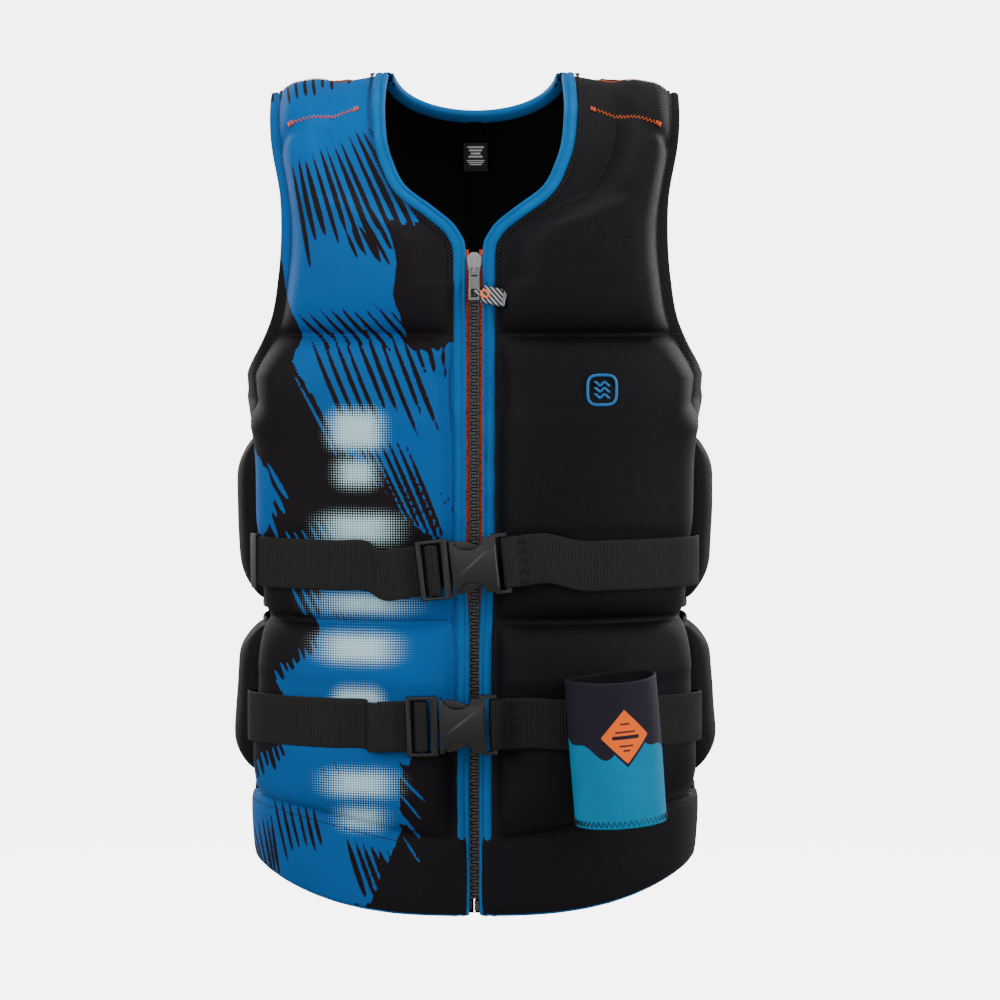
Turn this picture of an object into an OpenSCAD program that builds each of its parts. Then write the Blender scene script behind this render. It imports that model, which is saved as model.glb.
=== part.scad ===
// Wake-sports flotation vest: two front panels joined by a zip and two buckled belts, a padded back,
// padded side wings, and a neoprene can cooler carried on the lower belt.
// +Z is up, -Y is the front, +X is the wearer's left. Z = 0 is the hem at the centre front.

/* [Vest] */
// Overall width across the side wings
vest_w = 372; // [330:1:450]
// Depth from the front foam to the back foam
vest_d = 246; // [215:1:300]
// Height from the hem to the top of the shoulders
vest_h = 648; // [620:1:780]
// Half width of the neck opening
neck_half_w = 68; // [60:1:76]
// How far the front neckline drops below the shoulders
neck_drop = 134; // [110:1:150]
// Half width from the centre to the shoulder's outer edge
shoulder_half_w = 160; // [150:1:168]

/* [Layers] */
// Thickness of the foam blocks
foam_t = 20; // [14:0.5:26]
// Thickness of the outer neoprene shell
shell_t = 3; // [2:0.5:4]
// Thickness of the lining
lining_t = 2; // [1:0.5:3]
// Thickness of a side wing
wing_t = 22; // [16:1:28]
// Width of the folded binding tape
binding_w = 10; // [8:0.5:12]

/* [Seams] */
// Height of the seam above the hem band at the centre front
hem_seam_z = 60; // [45:1:72]
// How far that seam rises at the sides
hem_seam_rise = 28; // [10:1:36]
// How far the hem rises at the sides
hem_rise = 40; // [20:1:50]
// Height of the waist seam
waist_seam_z = 226; // [200:1:250]
// Height of the chest seam
chest_seam_z = 444; // [425:1:460]
// Height of the bottom of the armholes
armpit_z = 398; // [370:1:410]

/* [Belts] */
// Height of the upper belt
upper_belt_z = 270; // [262:1:300]
// Height of the lower belt
lower_belt_z = 150; // [125:1:180]
// Width of the belt webbing
webbing_w = 38; // [25:1:46]
// Thickness of the belt webbing
webbing_t = 1.8; // [1.2:0.1:2]
// Sideways place of the upper buckle
upper_buckle_x = -8; // [-20:1:20]
// Sideways place of the lower buckle
lower_buckle_x = -17; // [-20:1:20]
// Tilt of the upper buckle
upper_tilt = 6; // [-6:0.5:6]
// Tilt of the lower buckle
lower_tilt = 1.5; // [-6:0.5:6]

/* [Zip] */
// Spacing of the zip teeth along one tape
tooth_pitch = 5; // [4:0.5:7]
// Length of the metal slider
slider_len = 17; // [14:1:20]

/* [Can cooler] */
// Inner radius of the can cooler
cooler_bore_r = 31.5; // [28:0.5:36]
// Thickness of the can cooler's neoprene
cooler_wall = 3; // [2:0.5:4]
// Depth of the can cooler inside
cooler_depth = 110; // [85:1:120]
// How far the can cooler leans towards the zip
cooler_lean = 4.5; // [0:0.5:6]

/* [Hidden] */
$fn = 48;

// ---- The body that the vest goes round: an egg-shaped section that closes at the shoulders ----
gap = 0.3;                                  // clearance between layers
full_t = lining_t + foam_t + shell_t;       // thickness of a foam block with its skins
seam_t = lining_t + shell_t + 1;            // thickness where the skins are sewn together
section_n = 2.6;                            // squareness of the section
front_d = vest_d / 2 - full_t;              // depth of the body in front of the sides
dome_z = 470;                               // height where the chest starts to curve back
arc_k = 2.6;                                // millimetres of row for each degree over the shoulder
shoulder_t = seam_t + 4;                    // thickness on top of the shoulders
shoulder_drop = 16;                         // fall of the shoulder from neck to arm
crown_z = vest_h - shoulder_t;              // height of the body under the neck end of the shoulder
shoulder_s = dome_z + 89.8 * arc_k;         // last row of a panel, at the shoulder seam
edge_x = 6;                                 // half the gap between the front bindings
panel_side = 68;                            // section angle of a front panel's side edge
wrap_side = 84;                             // the same for the hem band and under the arm
wing_side = 71;                             // section angle of a wing's front edge
neck_z = vest_h - neck_drop;                // height of the bottom of the neck opening
back_neck_drop = 36;                        // drop of the back neckline below the shoulders

function mix(a, b, t) = a + (b - a) * t;
function clamp(v, lo, hi) = min(max(v, lo), hi);
function signed_pow(v, e) = sign(v) * pow(abs(v), e);

// Height of a row where it crosses the middle of the shoulder
function row_z(s) = s <= dome_z ? s : dome_z + (crown_z - dome_z) * sin((s - dome_z) / arc_k);
function row_at(z) = z <= dome_z ? z : dome_z + arc_k * asin((z - dome_z) / (crown_z - dome_z));
function half_w(s) = vest_w / 2 - wing_t + lookup(row_z(s),
    [[0, 1], [90, 4], [150, 1], [waist_seam_z, -3], [310, 0], [360, 1], [armpit_z, 4], [450, 9],
     [520, 12], [vest_h, 14]]);
function back_d(s) = front_d * lookup(row_z(s),
    [[0, 0.98], [waist_seam_z, 0.9], [armpit_z, 1], [vest_h, 1]]);
function hem_z(x) = hem_rise * pow(abs(x) / 173, 3);
function hem_seam(x) = hem_seam_z + hem_seam_rise * (1 - cos(min(180, abs(x)))) / 2;
function crown(x) = crown_z - shoulder_drop * clamp((abs(x) - neck_half_w)
    / (shoulder_half_w - neck_half_w), 0, 1);
function level(s, x) =
    s < hem_seam_z ? mix(hem_z(x), hem_seam(x), s / hem_seam_z) :
    s < waist_seam_z ? mix(hem_seam(x), waist_seam_z, (s - hem_seam_z) / (waist_seam_z - hem_seam_z)) :
    s <= dome_z ? s : dome_z + (crown(x) - dome_z) * sin((s - dome_z) / arc_k);
function fall(s) = s <= dome_z ? 1 : cos((s - dome_z) / arc_k);

// A point on the lining's inner face, on the wearer's right: phi is 0 at the front and 180 at the back
function body_point(phi, s) = let (
    x = half_w(s) * pow(sin(phi), 2 / section_n),
    d = cos(phi) > 0 ? front_d : back_d(s))
    [-x, -d * fall(s) * signed_pow(cos(phi), 2 / section_n), level(s, x)];
function body_normal(phi, s) = let (
    across = body_point(min(phi + 0.4, 179.9), s) - body_point(max(phi - 0.4, 0.1), s),
    up = body_point(phi, s + 0.6) - body_point(phi, s - 0.6),
    n = cross(up, across)) n / norm(n);
function off_body(phi, s, out) = body_point(phi, s) + out * body_normal(phi, s);
function angle_at(x, s) = asin(min(0.9999, pow(x / half_w(s), section_n / 2)));

// ---- Outlines of the panels, as half widths at each height ----
function neck_x(z) = edge_x + (neck_half_w - edge_x) * lookup((z - neck_z) / neck_drop,
    [[0, 0.03], [0.09, 0.14], [0.19, 0.4], [0.29, 0.7], [0.45, 0.9], [0.73, 1], [1, 0.97]]);
function back_neck_x(z) = neck_half_w * lookup((z - vest_h + back_neck_drop) / back_neck_drop,
    [[0, 0], [0.12, 0.45], [0.35, 0.76], [0.6, 0.9], [1, 0.97]]);
function arm_x(z) = shoulder_half_w + lookup((z - armpit_z) / (vest_h - armpit_z),
    [[0, 12], [0.12, 4], [0.22, -3], [0.36, -12], [0.5, -15], [0.62, -14], [0.8, -6], [1, -2]]);

function front_inner(s) = row_z(s) < neck_z ? edge_x : neck_x(row_z(s));
function back_inner(s) = max(0.1, back_neck_x(row_z(s)));
function side_angle(s) =
    row_z(s) <= hem_seam_z || abs(row_z(s) - armpit_z) < 1 ? wrap_side :
    row_z(s) < armpit_z ? panel_side : angle_at(arm_x(row_z(s)), s);

// Rows of a panel, from the hem up: each block of foam has rows of its own between the seams
hem_rows = [8, 30, 52];
lower_rows = [for (f = [0.05, 0.2, 0.4, 0.6, 0.8, 0.95]) mix(hem_seam_z, waist_seam_z, f)];
body_rows = concat([for (f = [0.04, 0.18, 0.34, 0.5, 0.66]) mix(waist_seam_z, chest_seam_z, f)],
    [armpit_z - 14, armpit_z, chest_seam_z - 9]);
chest_rows = concat([for (f = [0.12, 0.45, 0.8]) row_at(mix(chest_seam_z, neck_z, f))],
    [for (f = [0, 0.09, 0.19, 0.29, 0.45, 0.64, 0.82]) row_at(mix(neck_z, crown_z - 1, f))]);
trunk_rows = concat(hem_rows, [hem_seam_z], lower_rows, [waist_seam_z], body_rows, [chest_seam_z]);
panel_rows = concat(trunk_rows, chest_rows, [shoulder_s]);
back_neck_rows = [for (f = [0.01, 0.06, 0.12, 0.22, 0.35, 0.6, 0.8])
    row_at(mix(vest_h - back_neck_drop, crown_z - 1, f))];
back_chest_rows = [for (s = chest_rows) if (row_z(s) < vest_h - back_neck_drop - 4) s];
back_rows = concat(trunk_rows, back_chest_rows, back_neck_rows, [shoulder_s]);
seam_u = 0.035;                             // flat sewn strip between the binding and the foam
columns = [0, seam_u, 0.06, 0.12, 0.32, 0.5, 0.68, 0.88, 0.96, 1];
foam_columns = [for (i = [2:len(columns) - 2]) columns[i]];

// Thickness of a panel: it swells between the seams and thins over the shoulder
function block_u(s, u) = let (side = side_angle(s),
    end = s > hem_seam_z && row_z(s) < armpit_z + 1 ? min(side, panel_side) : side)
    (u * side / end - seam_u) / (1 - seam_u);
function swell(t) = pow(max(0, 1 - pow(abs(2 * clamp(t, 0, 1) - 1), 6)), 0.5);
function panel_t(s, u) =
    s <= hem_seam_z ? seam_t + 3 * swell(s / hem_seam_z) :
    s <= waist_seam_z ? mix(seam_t, full_t, swell(block_u(s, u))
        * swell((s - hem_seam_z) / (waist_seam_z - hem_seam_z))) :
    s <= chest_seam_z ? mix(seam_t, full_t, swell(block_u(s, u))
        * swell((s - waist_seam_z) / (chest_seam_z - waist_seam_z))) :
    let (v = (s - chest_seam_z) / (shoulder_s - chest_seam_z))
    mix(seam_t, full_t, swell(block_u(s, u)) * swell(min(0.5, v * 2)) * (1 - 0.8 * pow(v, 1.5)));

// ---- Solids between two offsets of the body ----
// rows and cols give the grid; point(i, j, 0) is the inner face and point(i, j, 1) the outer one
module sheet_solid(outer, inner) {
    rows = len(outer);
    cols = len(outer[0]);
    flat_outer = [for (r = outer) for (p = r) p];
    flat_inner = [for (r = inner) for (p = r) p];
    n = rows * cols;
    cells = [for (i = [0:rows - 2]) for (j = [0:cols - 2]) i * cols + j];
    skin = [for (k = cells) each [[k, k + 1, k + cols + 1], [k, k + cols + 1, k + cols]]];
    back = [for (f = skin) [f[2] + n, f[1] + n, f[0] + n]];
    last = (rows - 1) * cols;
    lower = [for (j = [0:cols - 2]) each [[j, j + n, j + 1], [j + 1, j + n, j + 1 + n]]];
    upper = [for (j = [0:cols - 2]) each [[last + j, last + j + 1, last + j + n],
        [last + j + 1, last + j + 1 + n, last + j + n]]];
    first = [for (i = [0:rows - 2]) let (a = i * cols, b = a + cols) each [[a, b, a + n], [b, b + n, a + n]]];
    side = [for (i = [0:rows - 2]) let (a = i * cols + cols - 1, b = a + cols)
        each [[a, a + n, b], [b, a + n, b + n]]];
    polyhedron(concat(flat_outer, flat_inner), concat(skin, back, lower, upper, first, side));
}

// Section angles of a row's columns, from the binding's outer edge to the side edge
function front_angle(s, u) = mix(angle_at(front_inner(s) + binding_w, s), side_angle(s), u);
function back_binding_w(x) = binding_w * min(1, x / 6);
function back_start(s) = let (x = back_inner(s)) angle_at(x + back_binding_w(x), s);
function back_angle(s, u) = 180 - mix(back_start(s), side_angle(s), u);

module front_layer(rows, cols, from, to) {
    sheet_solid(
        [for (s = rows) [for (u = cols) off_body(front_angle(s, u), s, to(s, u))]],
        [for (s = rows) [for (u = cols) off_body(front_angle(s, u), s, from(s, u))]]);
}
module back_layer(rows, cols, from, to) {
    sheet_solid(
        [for (s = rows) [for (i = [len(cols) - 1:-1:0]) off_body(back_angle(s, cols[i]), s, to(s, cols[i]))]],
        [for (s = rows) [for (i = [len(cols) - 1:-1:0]) off_body(back_angle(s, cols[i]), s, from(s, cols[i]))]]);
}
shell_in = function (s, u) panel_t(s, u) - shell_t;
shell_out = function (s, u) panel_t(s, u);
foam_in = function (s, u) lining_t + gap;
foam_out = function (s, u) panel_t(s, u) - shell_t - gap;
lining_in = function (s, u) 0;
lining_out = function (s, u) lining_t;

module to_left() { mirror([1, 0, 0]) children(); }

module front_shell() front_layer(panel_rows, columns, shell_in, shell_out);
module front_lining() front_layer(panel_rows, columns, lining_in, lining_out);
module back_shell() back_layer(back_rows, columns, shell_in, shell_out);
module back_lining() back_layer(back_rows, columns, lining_in, lining_out);

// ---- Bindings: folded tape along the front edge and neck, and along the hem ----
binding_t = seam_t + 1.5;
binding_shape = [0, 0.3, 1];
binding_rise = [0.55, 1, 1];
edge_rows = concat([0], panel_rows);
function edge_angle(s, k) = angle_at(front_inner(s) + binding_w * binding_shape[k], s);
// The zip's tapes stay straight behind the binding where the chest starts to curve back
function over_tape(s) = row_z(s) <= neck_z ? front_d * (1 - fall(s)) : 0;
module edge_binding() {
    sheet_solid(
        [for (s = edge_rows) [for (k = [0:2]) off_body(edge_angle(s, k), s, binding_t * binding_rise[k])]],
        [for (s = edge_rows) [for (k = [0:2]) off_body(edge_angle(s, k), s, over_tape(s))]]);
}
hem_tape_rows = [0, 3, 7.6];
module hem_tape(angle, cols) {
    sheet_solid(
        [for (k = [0:2]) [for (u = cols) off_body(angle(hem_tape_rows[k], u), hem_tape_rows[k],
            binding_t * binding_rise[k])]],
        [for (k = [0:2]) [for (u = cols) off_body(angle(hem_tape_rows[k], u), hem_tape_rows[k], 0)]]);
}
hem_columns = [for (i = [0:8]) i / 8];
front_hem_angle = function (s, u) front_angle(s, u);
back_hem_angle = function (s, u) back_angle(s, 1 - u);
function back_binding_angle(s, k) = let (x = back_inner(s))
    180 - angle_at(max(0.4, x + back_binding_w(x) * binding_shape[k] * 0.95), s);
module back_neck_half() {
    rows = concat(back_neck_rows, [shoulder_s]);
    sheet_solid(
        [for (s = rows) [for (k = [2:-1:0]) off_body(back_binding_angle(s, k), s, binding_t * binding_rise[k])]],
        [for (s = rows) [for (k = [2:-1:0]) off_body(back_binding_angle(s, k), s, 0)]]);
}

// ---- Side wings: padded pods outside a stretch side panel ----
wing_lower_bottom = hem_seam_z + 12;
wing_gap = 4;
wing_upper_top = armpit_z - 14;
wing_lower_top = waist_seam_z - wing_gap;
wing_upper_bottom = waist_seam_z + wing_gap;
wing_grid = [for (i = [0:6]) i / 6];
function wing_angle(u) = mix(wing_side, 180 - wing_side, u);
module wing(bottom, top) {
    sheet_solid(
        [for (v = wing_grid) [for (u = wing_grid) off_body(wing_angle(u), mix(bottom, top, v),
            mix(seam_t, wing_t, swell(u) * swell(v)))]],
        [for (v = wing_grid) [for (u = wing_grid) off_body(wing_angle(u), mix(bottom, top, v), lining_t + gap)]]);
}
// The side panel shares the wings' rows, so that the two lie flat on each other
module side_panel() {
    rows = concat([for (v = wing_grid) mix(wing_lower_bottom, wing_lower_top, v)],
        [for (v = wing_grid) mix(wing_upper_bottom, wing_upper_top, v)]);
    sheet_solid(
        [for (s = rows) [for (u = wing_grid) off_body(wing_angle(u), s, lining_t)]],
        [for (s = rows) [for (u = wing_grid) off_body(wing_angle(u), s, 0)]]);
}

// ---- Zip: straight down the centre front ----
tape_y = -front_d + 0.2;
tape_t = 1;
tape_in = 4;
tape_out = edge_x + binding_w - 1;
chain_bottom = 12;
chain_top = neck_z - 14;
tooth_h = tooth_pitch * 0.38;
tooth_reach = 2.2;
tooth_deep = 5;
chain_y = tape_y + tape_t / 2;
module zip_tape() translate([-tape_out, tape_y, chain_bottom - 6])
    cube([tape_out - tape_in, tape_t, chain_top - chain_bottom + 14]);
// Comb outline of one row of teeth, with a beaded spine
module zip_teeth(shift) {
    count = floor((chain_top - chain_bottom - tooth_pitch) / tooth_pitch);
    comb = [for (i = [0:count - 1]) let (z = chain_bottom + shift + i * tooth_pitch)
        each [[-2.6, z], [tooth_reach, z], [tooth_reach, z + tooth_h], [-2.6, z + tooth_h]]];
    outline = concat([[-tape_in + 0.05, chain_bottom]], [[-2.6, chain_bottom]], comb,
        [[-2.6, chain_top], [-tape_in + 0.05, chain_top]]);
    translate([0, chain_y + tooth_deep / 2, 0]) rotate([90, 0, 0]) linear_extrude(tooth_deep)
        polygon(outline);
}
module zip_box_solid() translate([0, chain_y - 3.5, chain_bottom - 8]) cube([tape_in - 0.3, 7, 7.5]);
module zip_pin_solid() translate([-tape_in + 0.3, chain_y - 2, chain_bottom - 7]) cube([1.8, 4, 6.5]);

// The slider: two plates held apart by a post, with a bridge for the pull on its front
slider_z = chain_top - slider_len / 2 + 6;
slider_half_w = edge_x - 0.6;
plate_t = 1.4;
slider_front = tooth_deep / 2 + 0.7;
bridge_out = 4.6;
module depth_slab(d0, d1) translate([0, -d0, 0]) rotate([90, 0, 0]) linear_extrude(d1 - d0) children();
module slider_outline() polygon([[-slider_half_w * 0.7, -slider_len / 2], [slider_half_w * 0.7, -slider_len / 2],
    [slider_half_w, slider_len * 0.1], [slider_half_w, slider_len / 2 - 3], [slider_half_w * 0.4, slider_len / 2],
    [-slider_half_w * 0.4, slider_len / 2], [-slider_half_w, slider_len / 2 - 3], [-slider_half_w, slider_len * 0.1]]);
module zip_slider_solid() translate([0, chain_y, slider_z]) {
    depth_slab(slider_front, slider_front + plate_t) slider_outline();
    depth_slab(-slider_front - plate_t, -slider_front) slider_outline();
    depth_slab(-slider_front - 0.1, slider_front + 0.1) translate([-1, slider_len / 2 - 2.4]) square([2, 2.2]);
    for (z = [-slider_len / 2 + 2, slider_len / 2 - 5])
        depth_slab(slider_front + plate_t - 0.1, slider_front + plate_t + bridge_out)
            translate([-1.2, z]) square([2.4, 2]);
    depth_slab(slider_front + plate_t + bridge_out - 1.4, slider_front + plate_t + bridge_out)
        translate([-1.2, -slider_len / 2 + 2]) square([2.4, slider_len - 5]);
}

// The pull: a ribbed link on the bridge that leans out over the foam, and a folded webbing tab on it
pull_pin = [0, chain_y - slider_front - plate_t - 1.6, slider_z - slider_len / 2 + 5.4];
pull_len = 26;
pull_w = 8;
pull_lean = 21;
tab_len = 18;
tab_w = 13;
tab_t = 3.2;
tab_drop = 12;
pin_half = 0.9;
rail_w = 1.6;
tab_slot = 7;
module zip_pull_solid() translate(pull_pin) rotate([-pull_lean, 0, 0]) difference() {
    translate([-pull_w / 2, -pin_half, -pull_len]) cube([pull_w, 2 * pin_half, pull_len + pin_half]);
    translate([-pull_w / 2 + rail_w, -2, -pin_half - 6.4]) cube([pull_w - 2 * rail_w, 4, 6.4]);
    translate([-pull_w / 2 + rail_w, -2, -pull_len + 2]) cube([pull_w - 2 * rail_w, 4, tab_slot]);
}
// The tab hangs on one rail of the link by a small ring, and turns round that rail like a flag
tab_down = pull_len - 2 - tab_slot / 2;
tab_pivot = pull_pin + [(pull_w - rail_w) / 2, -sin(pull_lean) * tab_down, -cos(pull_lean) * tab_down];
ring_reach = 3;
ring_hole = 1.75;
ring_out = 2.3;
ring_half = 1.6;
module pull_tab_solid() translate(tab_pivot) rotate([-pull_lean, 0, 0]) rotate([0, tab_drop, 0]) {
    translate([ring_reach - 0.2, -tab_t / 2, -tab_w / 2]) cube([tab_len, tab_t, tab_w]);
    difference() {
        translate([-ring_reach, -ring_out, -ring_half]) cube([2 * ring_reach, 2 * ring_out, 2 * ring_half]);
        translate([-ring_hole, -1.5, -ring_half - 1]) cube([2 * ring_hole, 3, 2 * ring_half + 2]);
    }
}

// ---- Buckles: lx runs along the belt, depth runs out from the back of the buckle ----
buckle_y = -(front_d + full_t) + 0.5;
buckle_d = 13;
buckle_end = 34.4;
rail_half = webbing_w / 2 + 1.2;
rail_t = 2.4;
block_x = -10.3;
pivot_x = -9.8;
pivot_z = 13;
upper_buckle = [upper_buckle_x, buckle_y, upper_belt_z];
lower_buckle = [lower_buckle_x, buckle_y, lower_belt_z];
module at_buckle(place, tilt) translate(place) rotate([0, -tilt, 0]) children();

// Male half: a ladder of two bars, a block and a guide tongue
module male_buckle() {
    for (m = [0, 1]) mirror([0, 0, m]) depth_slab(1, 11)
        translate([-buckle_end, rail_half]) square([buckle_end + block_x, rail_t]);
    depth_slab(7.6, 11) translate([-buckle_end, -rail_half]) square([3.8, 2 * rail_half]);
    depth_slab(5.2, 9) translate([-25.4, -rail_half]) square([4, 2 * rail_half]);
    depth_slab(1, 11) translate([-15.8, -rail_half]) square([15.8 + block_x, 2 * rail_half]);
    depth_slab(4.2, 8.8) translate([block_x - 0.1, -3.4]) square([23, 6.8]);
}
// One sprung prong with its latching head, drawn for the top of the buckle
module prong(side) mirror([0, 0, side < 0 ? 1 : 0]) depth_slab(3.5, 9.5)
    polygon([[-9.6, 11.4], [-9.6, 15], [-4.9, 15.8], [-4.6, 19.4], [-2, 20], [4, 18.8], [12, 15.4],
        [13.2, 12.6], [9, 11.6], [2, 12.8], [-4, 12]]);
// Female half: two waisted plates, a collar, an end block and the bar that the webbing is sewn round
module plate_outline() difference() {
    translate([-9, -20.5]) square([35, 41]);
    for (m = [-1, 1]) translate([5, m * 25.5]) circle(13);
}
module female_buckle() {
    depth_slab(0, 3) plate_outline();
    depth_slab(10, buckle_d) plate_outline();
    for (m = [0, 1]) mirror([0, 0, m]) {
        depth_slab(2.9, 10.1) translate([-9, 17.4]) square([3.6, 3.1]);
        depth_slab(2, 11) translate([22, rail_half]) square([buckle_end - 22, rail_t]);
    }
    depth_slab(0, buckle_d) translate([15, -rail_half - 0.1]) square([11, 2 * rail_half + 0.2]);
    depth_slab(5, 8.4) translate([31, -rail_half - 0.1]) square([buckle_end - 31, 2 * rail_half + 0.2]);
}

// ---- Belts: a flat webbing strip swept along stations of [point, direction across the strip] ----
function flat(v) = [v[0], v[1], 0];
function unit(v) = v / norm(v);
function quarter(v) = [-v[1], v[0], 0];
function edge_dir(path, i) = unit(flat(path[i + 1][0] - path[i][0]));
function miter(path, i) = let (
    last = len(path) - 1,
    a = edge_dir(path, max(0, min(i - 1, last - 1))),
    b = edge_dir(path, min(i, last - 1)),
    m = unit(quarter(a) + quarter(b)))
    m / max(0.5, m * quarter(a));
module webbing(path) {
    n = len(path);
    points = [for (i = [0:n - 1]) let (
        side = path[i][1] * webbing_w / 2,
        thick = miter(path, i) * webbing_t / 2,
        c = path[i][0])
        each [c + side + thick, c - side + thick, c - side - thick, c + side - thick]];
    sides = [for (i = [0:n - 2]) for (k = [0:3]) let (
        a = i * 4 + k, b = i * 4 + (k + 1) % 4)
        each [[a, a + 4, b], [b, a + 4, b + 4]]];
    polyhedron(points, concat(sides, [[0, 1, 2], [0, 2, 3]],
        [[4 * n - 4, 4 * n - 2, 4 * n - 3], [4 * n - 4, 4 * n - 1, 4 * n - 2]]));
}
upright = [0, 0, 1];
slit_angle = (panel_side + wing_side) / 2 - 0.4;
belt_out = full_t + 2.2;
// Stations on a panel, from the slit at its side towards the front: flip is 1 for the wearer's left
function at_side(p, z, flip) = [[flip ? -p[0] : p[0], p[1], z], upright];
function on_panel(z, angles, out, flip) = [for (a = angles) at_side(off_body(a, z, out), z, flip)];
function slit_stations(z, flip) = concat(on_panel(z, [slit_angle], 1.2, flip),
    on_panel(z, [slit_angle], 12, flip), on_panel(z, [66], belt_out - 3, flip));
// Stations in a buckle's own frame, from [lx, depth]
function in_buckle(place, tilt, pts) = [for (p = pts)
    [place + [p[0] * cos(tilt), -p[1], p[0] * sin(tilt)], [-sin(tilt), 0, cos(tilt)]]];
// Through the ladder: behind the outer bar, over the middle bar and back under itself
ladder_route = [[-62, 5], [-38, 5.1], [-30.4, 5.1], [-28.3, 6.6], [-27.6, 8.8], [-26, 10.3], [-20.8, 10.3],
    [-19, 8.8], [-18.5, 4.6], [-20.2, 2.3], [-26, 2.1], [-56, 2.1]];
// Round the fixed bar: the sewn end lies under the belt
bar_route = [[62, 3.8], [50, 4.6], [43, 6.4], [36, 9.6], [31.4, 9.9], [29.7, 8.4], [29.7, 5],
    [31.4, 3.4], [38, 2.6], [56, 1.5]];
panel_angles = [58, 49, 40, 31, 22];
module right_belt(z, place, tilt) webbing(concat(slit_stations(z, false),
    on_panel(z, panel_angles, belt_out, false), in_buckle(place, tilt, ladder_route)));
loop_angles = [37, 17];
loop_out = belt_out + 4;
module left_upper_belt() webbing(concat(slit_stations(upper_belt_z, true),
    on_panel(upper_belt_z, panel_angles, belt_out, true), in_buckle(upper_buckle, upper_tilt, bar_route)));
module left_lower_belt() webbing(concat(slit_stations(lower_belt_z, true),
    on_panel(lower_belt_z, [58, 47], belt_out, true), on_panel(lower_belt_z, loop_angles, loop_out, true),
    in_buckle(lower_buckle, lower_tilt, bar_route)));

// Elastic keeper round the upper belt near the wearer's right side
keeper_ends = [at_side(off_body(66, upper_belt_z, belt_out - 3), upper_belt_z, false)[0],
    at_side(off_body(58, upper_belt_z, belt_out), upper_belt_z, false)[0]];
keeper_dir = unit(keeper_ends[1] - keeper_ends[0]);
keeper_w = 9;
module keeper() translate((keeper_ends[0] + keeper_ends[1]) / 2)
    rotate([0, 0, atan2(keeper_dir[1], keeper_dir[0])]) difference() {
        cube([keeper_w, webbing_t + 2.6, webbing_w + 3.6], center = true);
        cube([keeper_w + 1, webbing_t + 0.8, webbing_w + 1.2], center = true);
    }

// ---- Badge and label ----
badge_at = [93, 403];
badge_r = 13.5;
module badge() {
    angle = angle_at(badge_at[0] - 8, badge_at[1]);
    n = body_normal(angle, badge_at[1]);
    p = off_body(angle, badge_at[1], full_t + 0.5);
    to_left() translate(p) rotate([0, 0, atan2(n[1], n[0])]) rotate([0, 90, 0]) difference() {
        cylinder(h = 1.2, r = badge_r);
        translate([0, 0, 0.6]) cylinder(h = 1, r = badge_r - 2.5);
    }
}
label_size = [19, 25];
label_row = row_at(vest_h - 68);
module label() {
    p = body_point(179.5, label_row);
    q = body_point(179.5, label_row + 4);
    slope = atan2(p[1] - q[1], q[2] - p[2]);
    translate([0, p[1] - 1.4, p[2]]) rotate([slope, 0, 0])
        cube([label_size[0], 0.6, label_size[1]], center = true);
}

// ---- Can cooler on the lower belt, in a frame on the straight stretch of webbing ----
loop_ends = [for (s = on_panel(lower_belt_z, loop_angles, loop_out, true)) s[0]];
loop_mid = (loop_ends[0] + loop_ends[1]) / 2;
loop_dir = unit(loop_ends[0] - loop_ends[1]);
cooler_r = cooler_bore_r + cooler_wall;
cooler_gap = 1.4;
cooler_top = 40;
module at_cooler() translate(loop_mid) rotate([0, 0, atan2(loop_dir[1], loop_dir[0])])
    rotate([0, -cooler_lean, 0]) children();
module at_cooler_axis() at_cooler() translate([0, -(webbing_t / 2 + cooler_gap + cooler_r), cooler_top]) children();
module cooler_tube() translate([0, 0, -cooler_depth]) difference() {
    cylinder(h = cooler_depth, r = cooler_r, $fn = 96);
    translate([0, 0, -1]) cylinder(h = cooler_depth + 2, r = cooler_bore_r, $fn = 96);
}
loop_w = 24;
module belt_loop() difference() {
    at_cooler() translate([-loop_w / 2, -7, -webbing_w / 2 - 4])
        cube([loop_w, 7 + webbing_t / 2 + 2, webbing_w + 8]);
    at_cooler() translate([-loop_w, -8, -webbing_w / 2 - 2.6])
        cube([2 * loop_w, 8 + webbing_t / 2 + 0.8, webbing_w + 5.2]);
    at_cooler_axis() translate([0, 0, -cooler_depth]) cylinder(h = cooler_depth, r = cooler_r, $fn = 96);
}

// ---- Nodes ----
module front_shell_right() color("#0a80c6") front_shell();
module front_shell_left() color("#17161b") to_left() front_shell();
module chest_foam_right() color("#d8d4c8") front_layer(chest_rows, foam_columns, foam_in, foam_out);
module chest_foam_left() color("#d8d4c8") to_left() chest_foam_right();
module body_foam_right() color("#d8d4c8") front_layer([for (i = [0:4]) body_rows[i]], foam_columns, foam_in, foam_out);
module body_foam_left() color("#d8d4c8") to_left() body_foam_right();
module lower_foam_right() color("#d8d4c8") front_layer(lower_rows, foam_columns, foam_in, foam_out);
module lower_foam_left() color("#d8d4c8") to_left() lower_foam_right();
module front_lining_right() color("#0b0b0b") front_lining();
module front_lining_left() color("#0b0b0b") to_left() front_lining();
module edge_binding_right() color("#1a8fd2") edge_binding();
module edge_binding_left() color("#1a8fd2") to_left() edge_binding();
module hem_binding_right() color("#1a8fd2") hem_tape(front_hem_angle, hem_columns);
module hem_binding_left() color("#1a8fd2") to_left() hem_tape(front_hem_angle, hem_columns);
module zip_tape_right() color("#ff4a10") zip_tape();
module zip_tape_left() color("#ff4a10") to_left() zip_tape();
module zip_teeth_right() color("#b8b8b8") zip_teeth(1);
module zip_teeth_left() color("#b8b8b8") to_left() zip_teeth(1 + tooth_pitch / 2);
module zip_pin() color("#b8b8b8") zip_pin_solid();
module zip_box() color("#b8b8b8") zip_box_solid();
module zip_slider() color("#77787a") zip_slider_solid();
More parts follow.
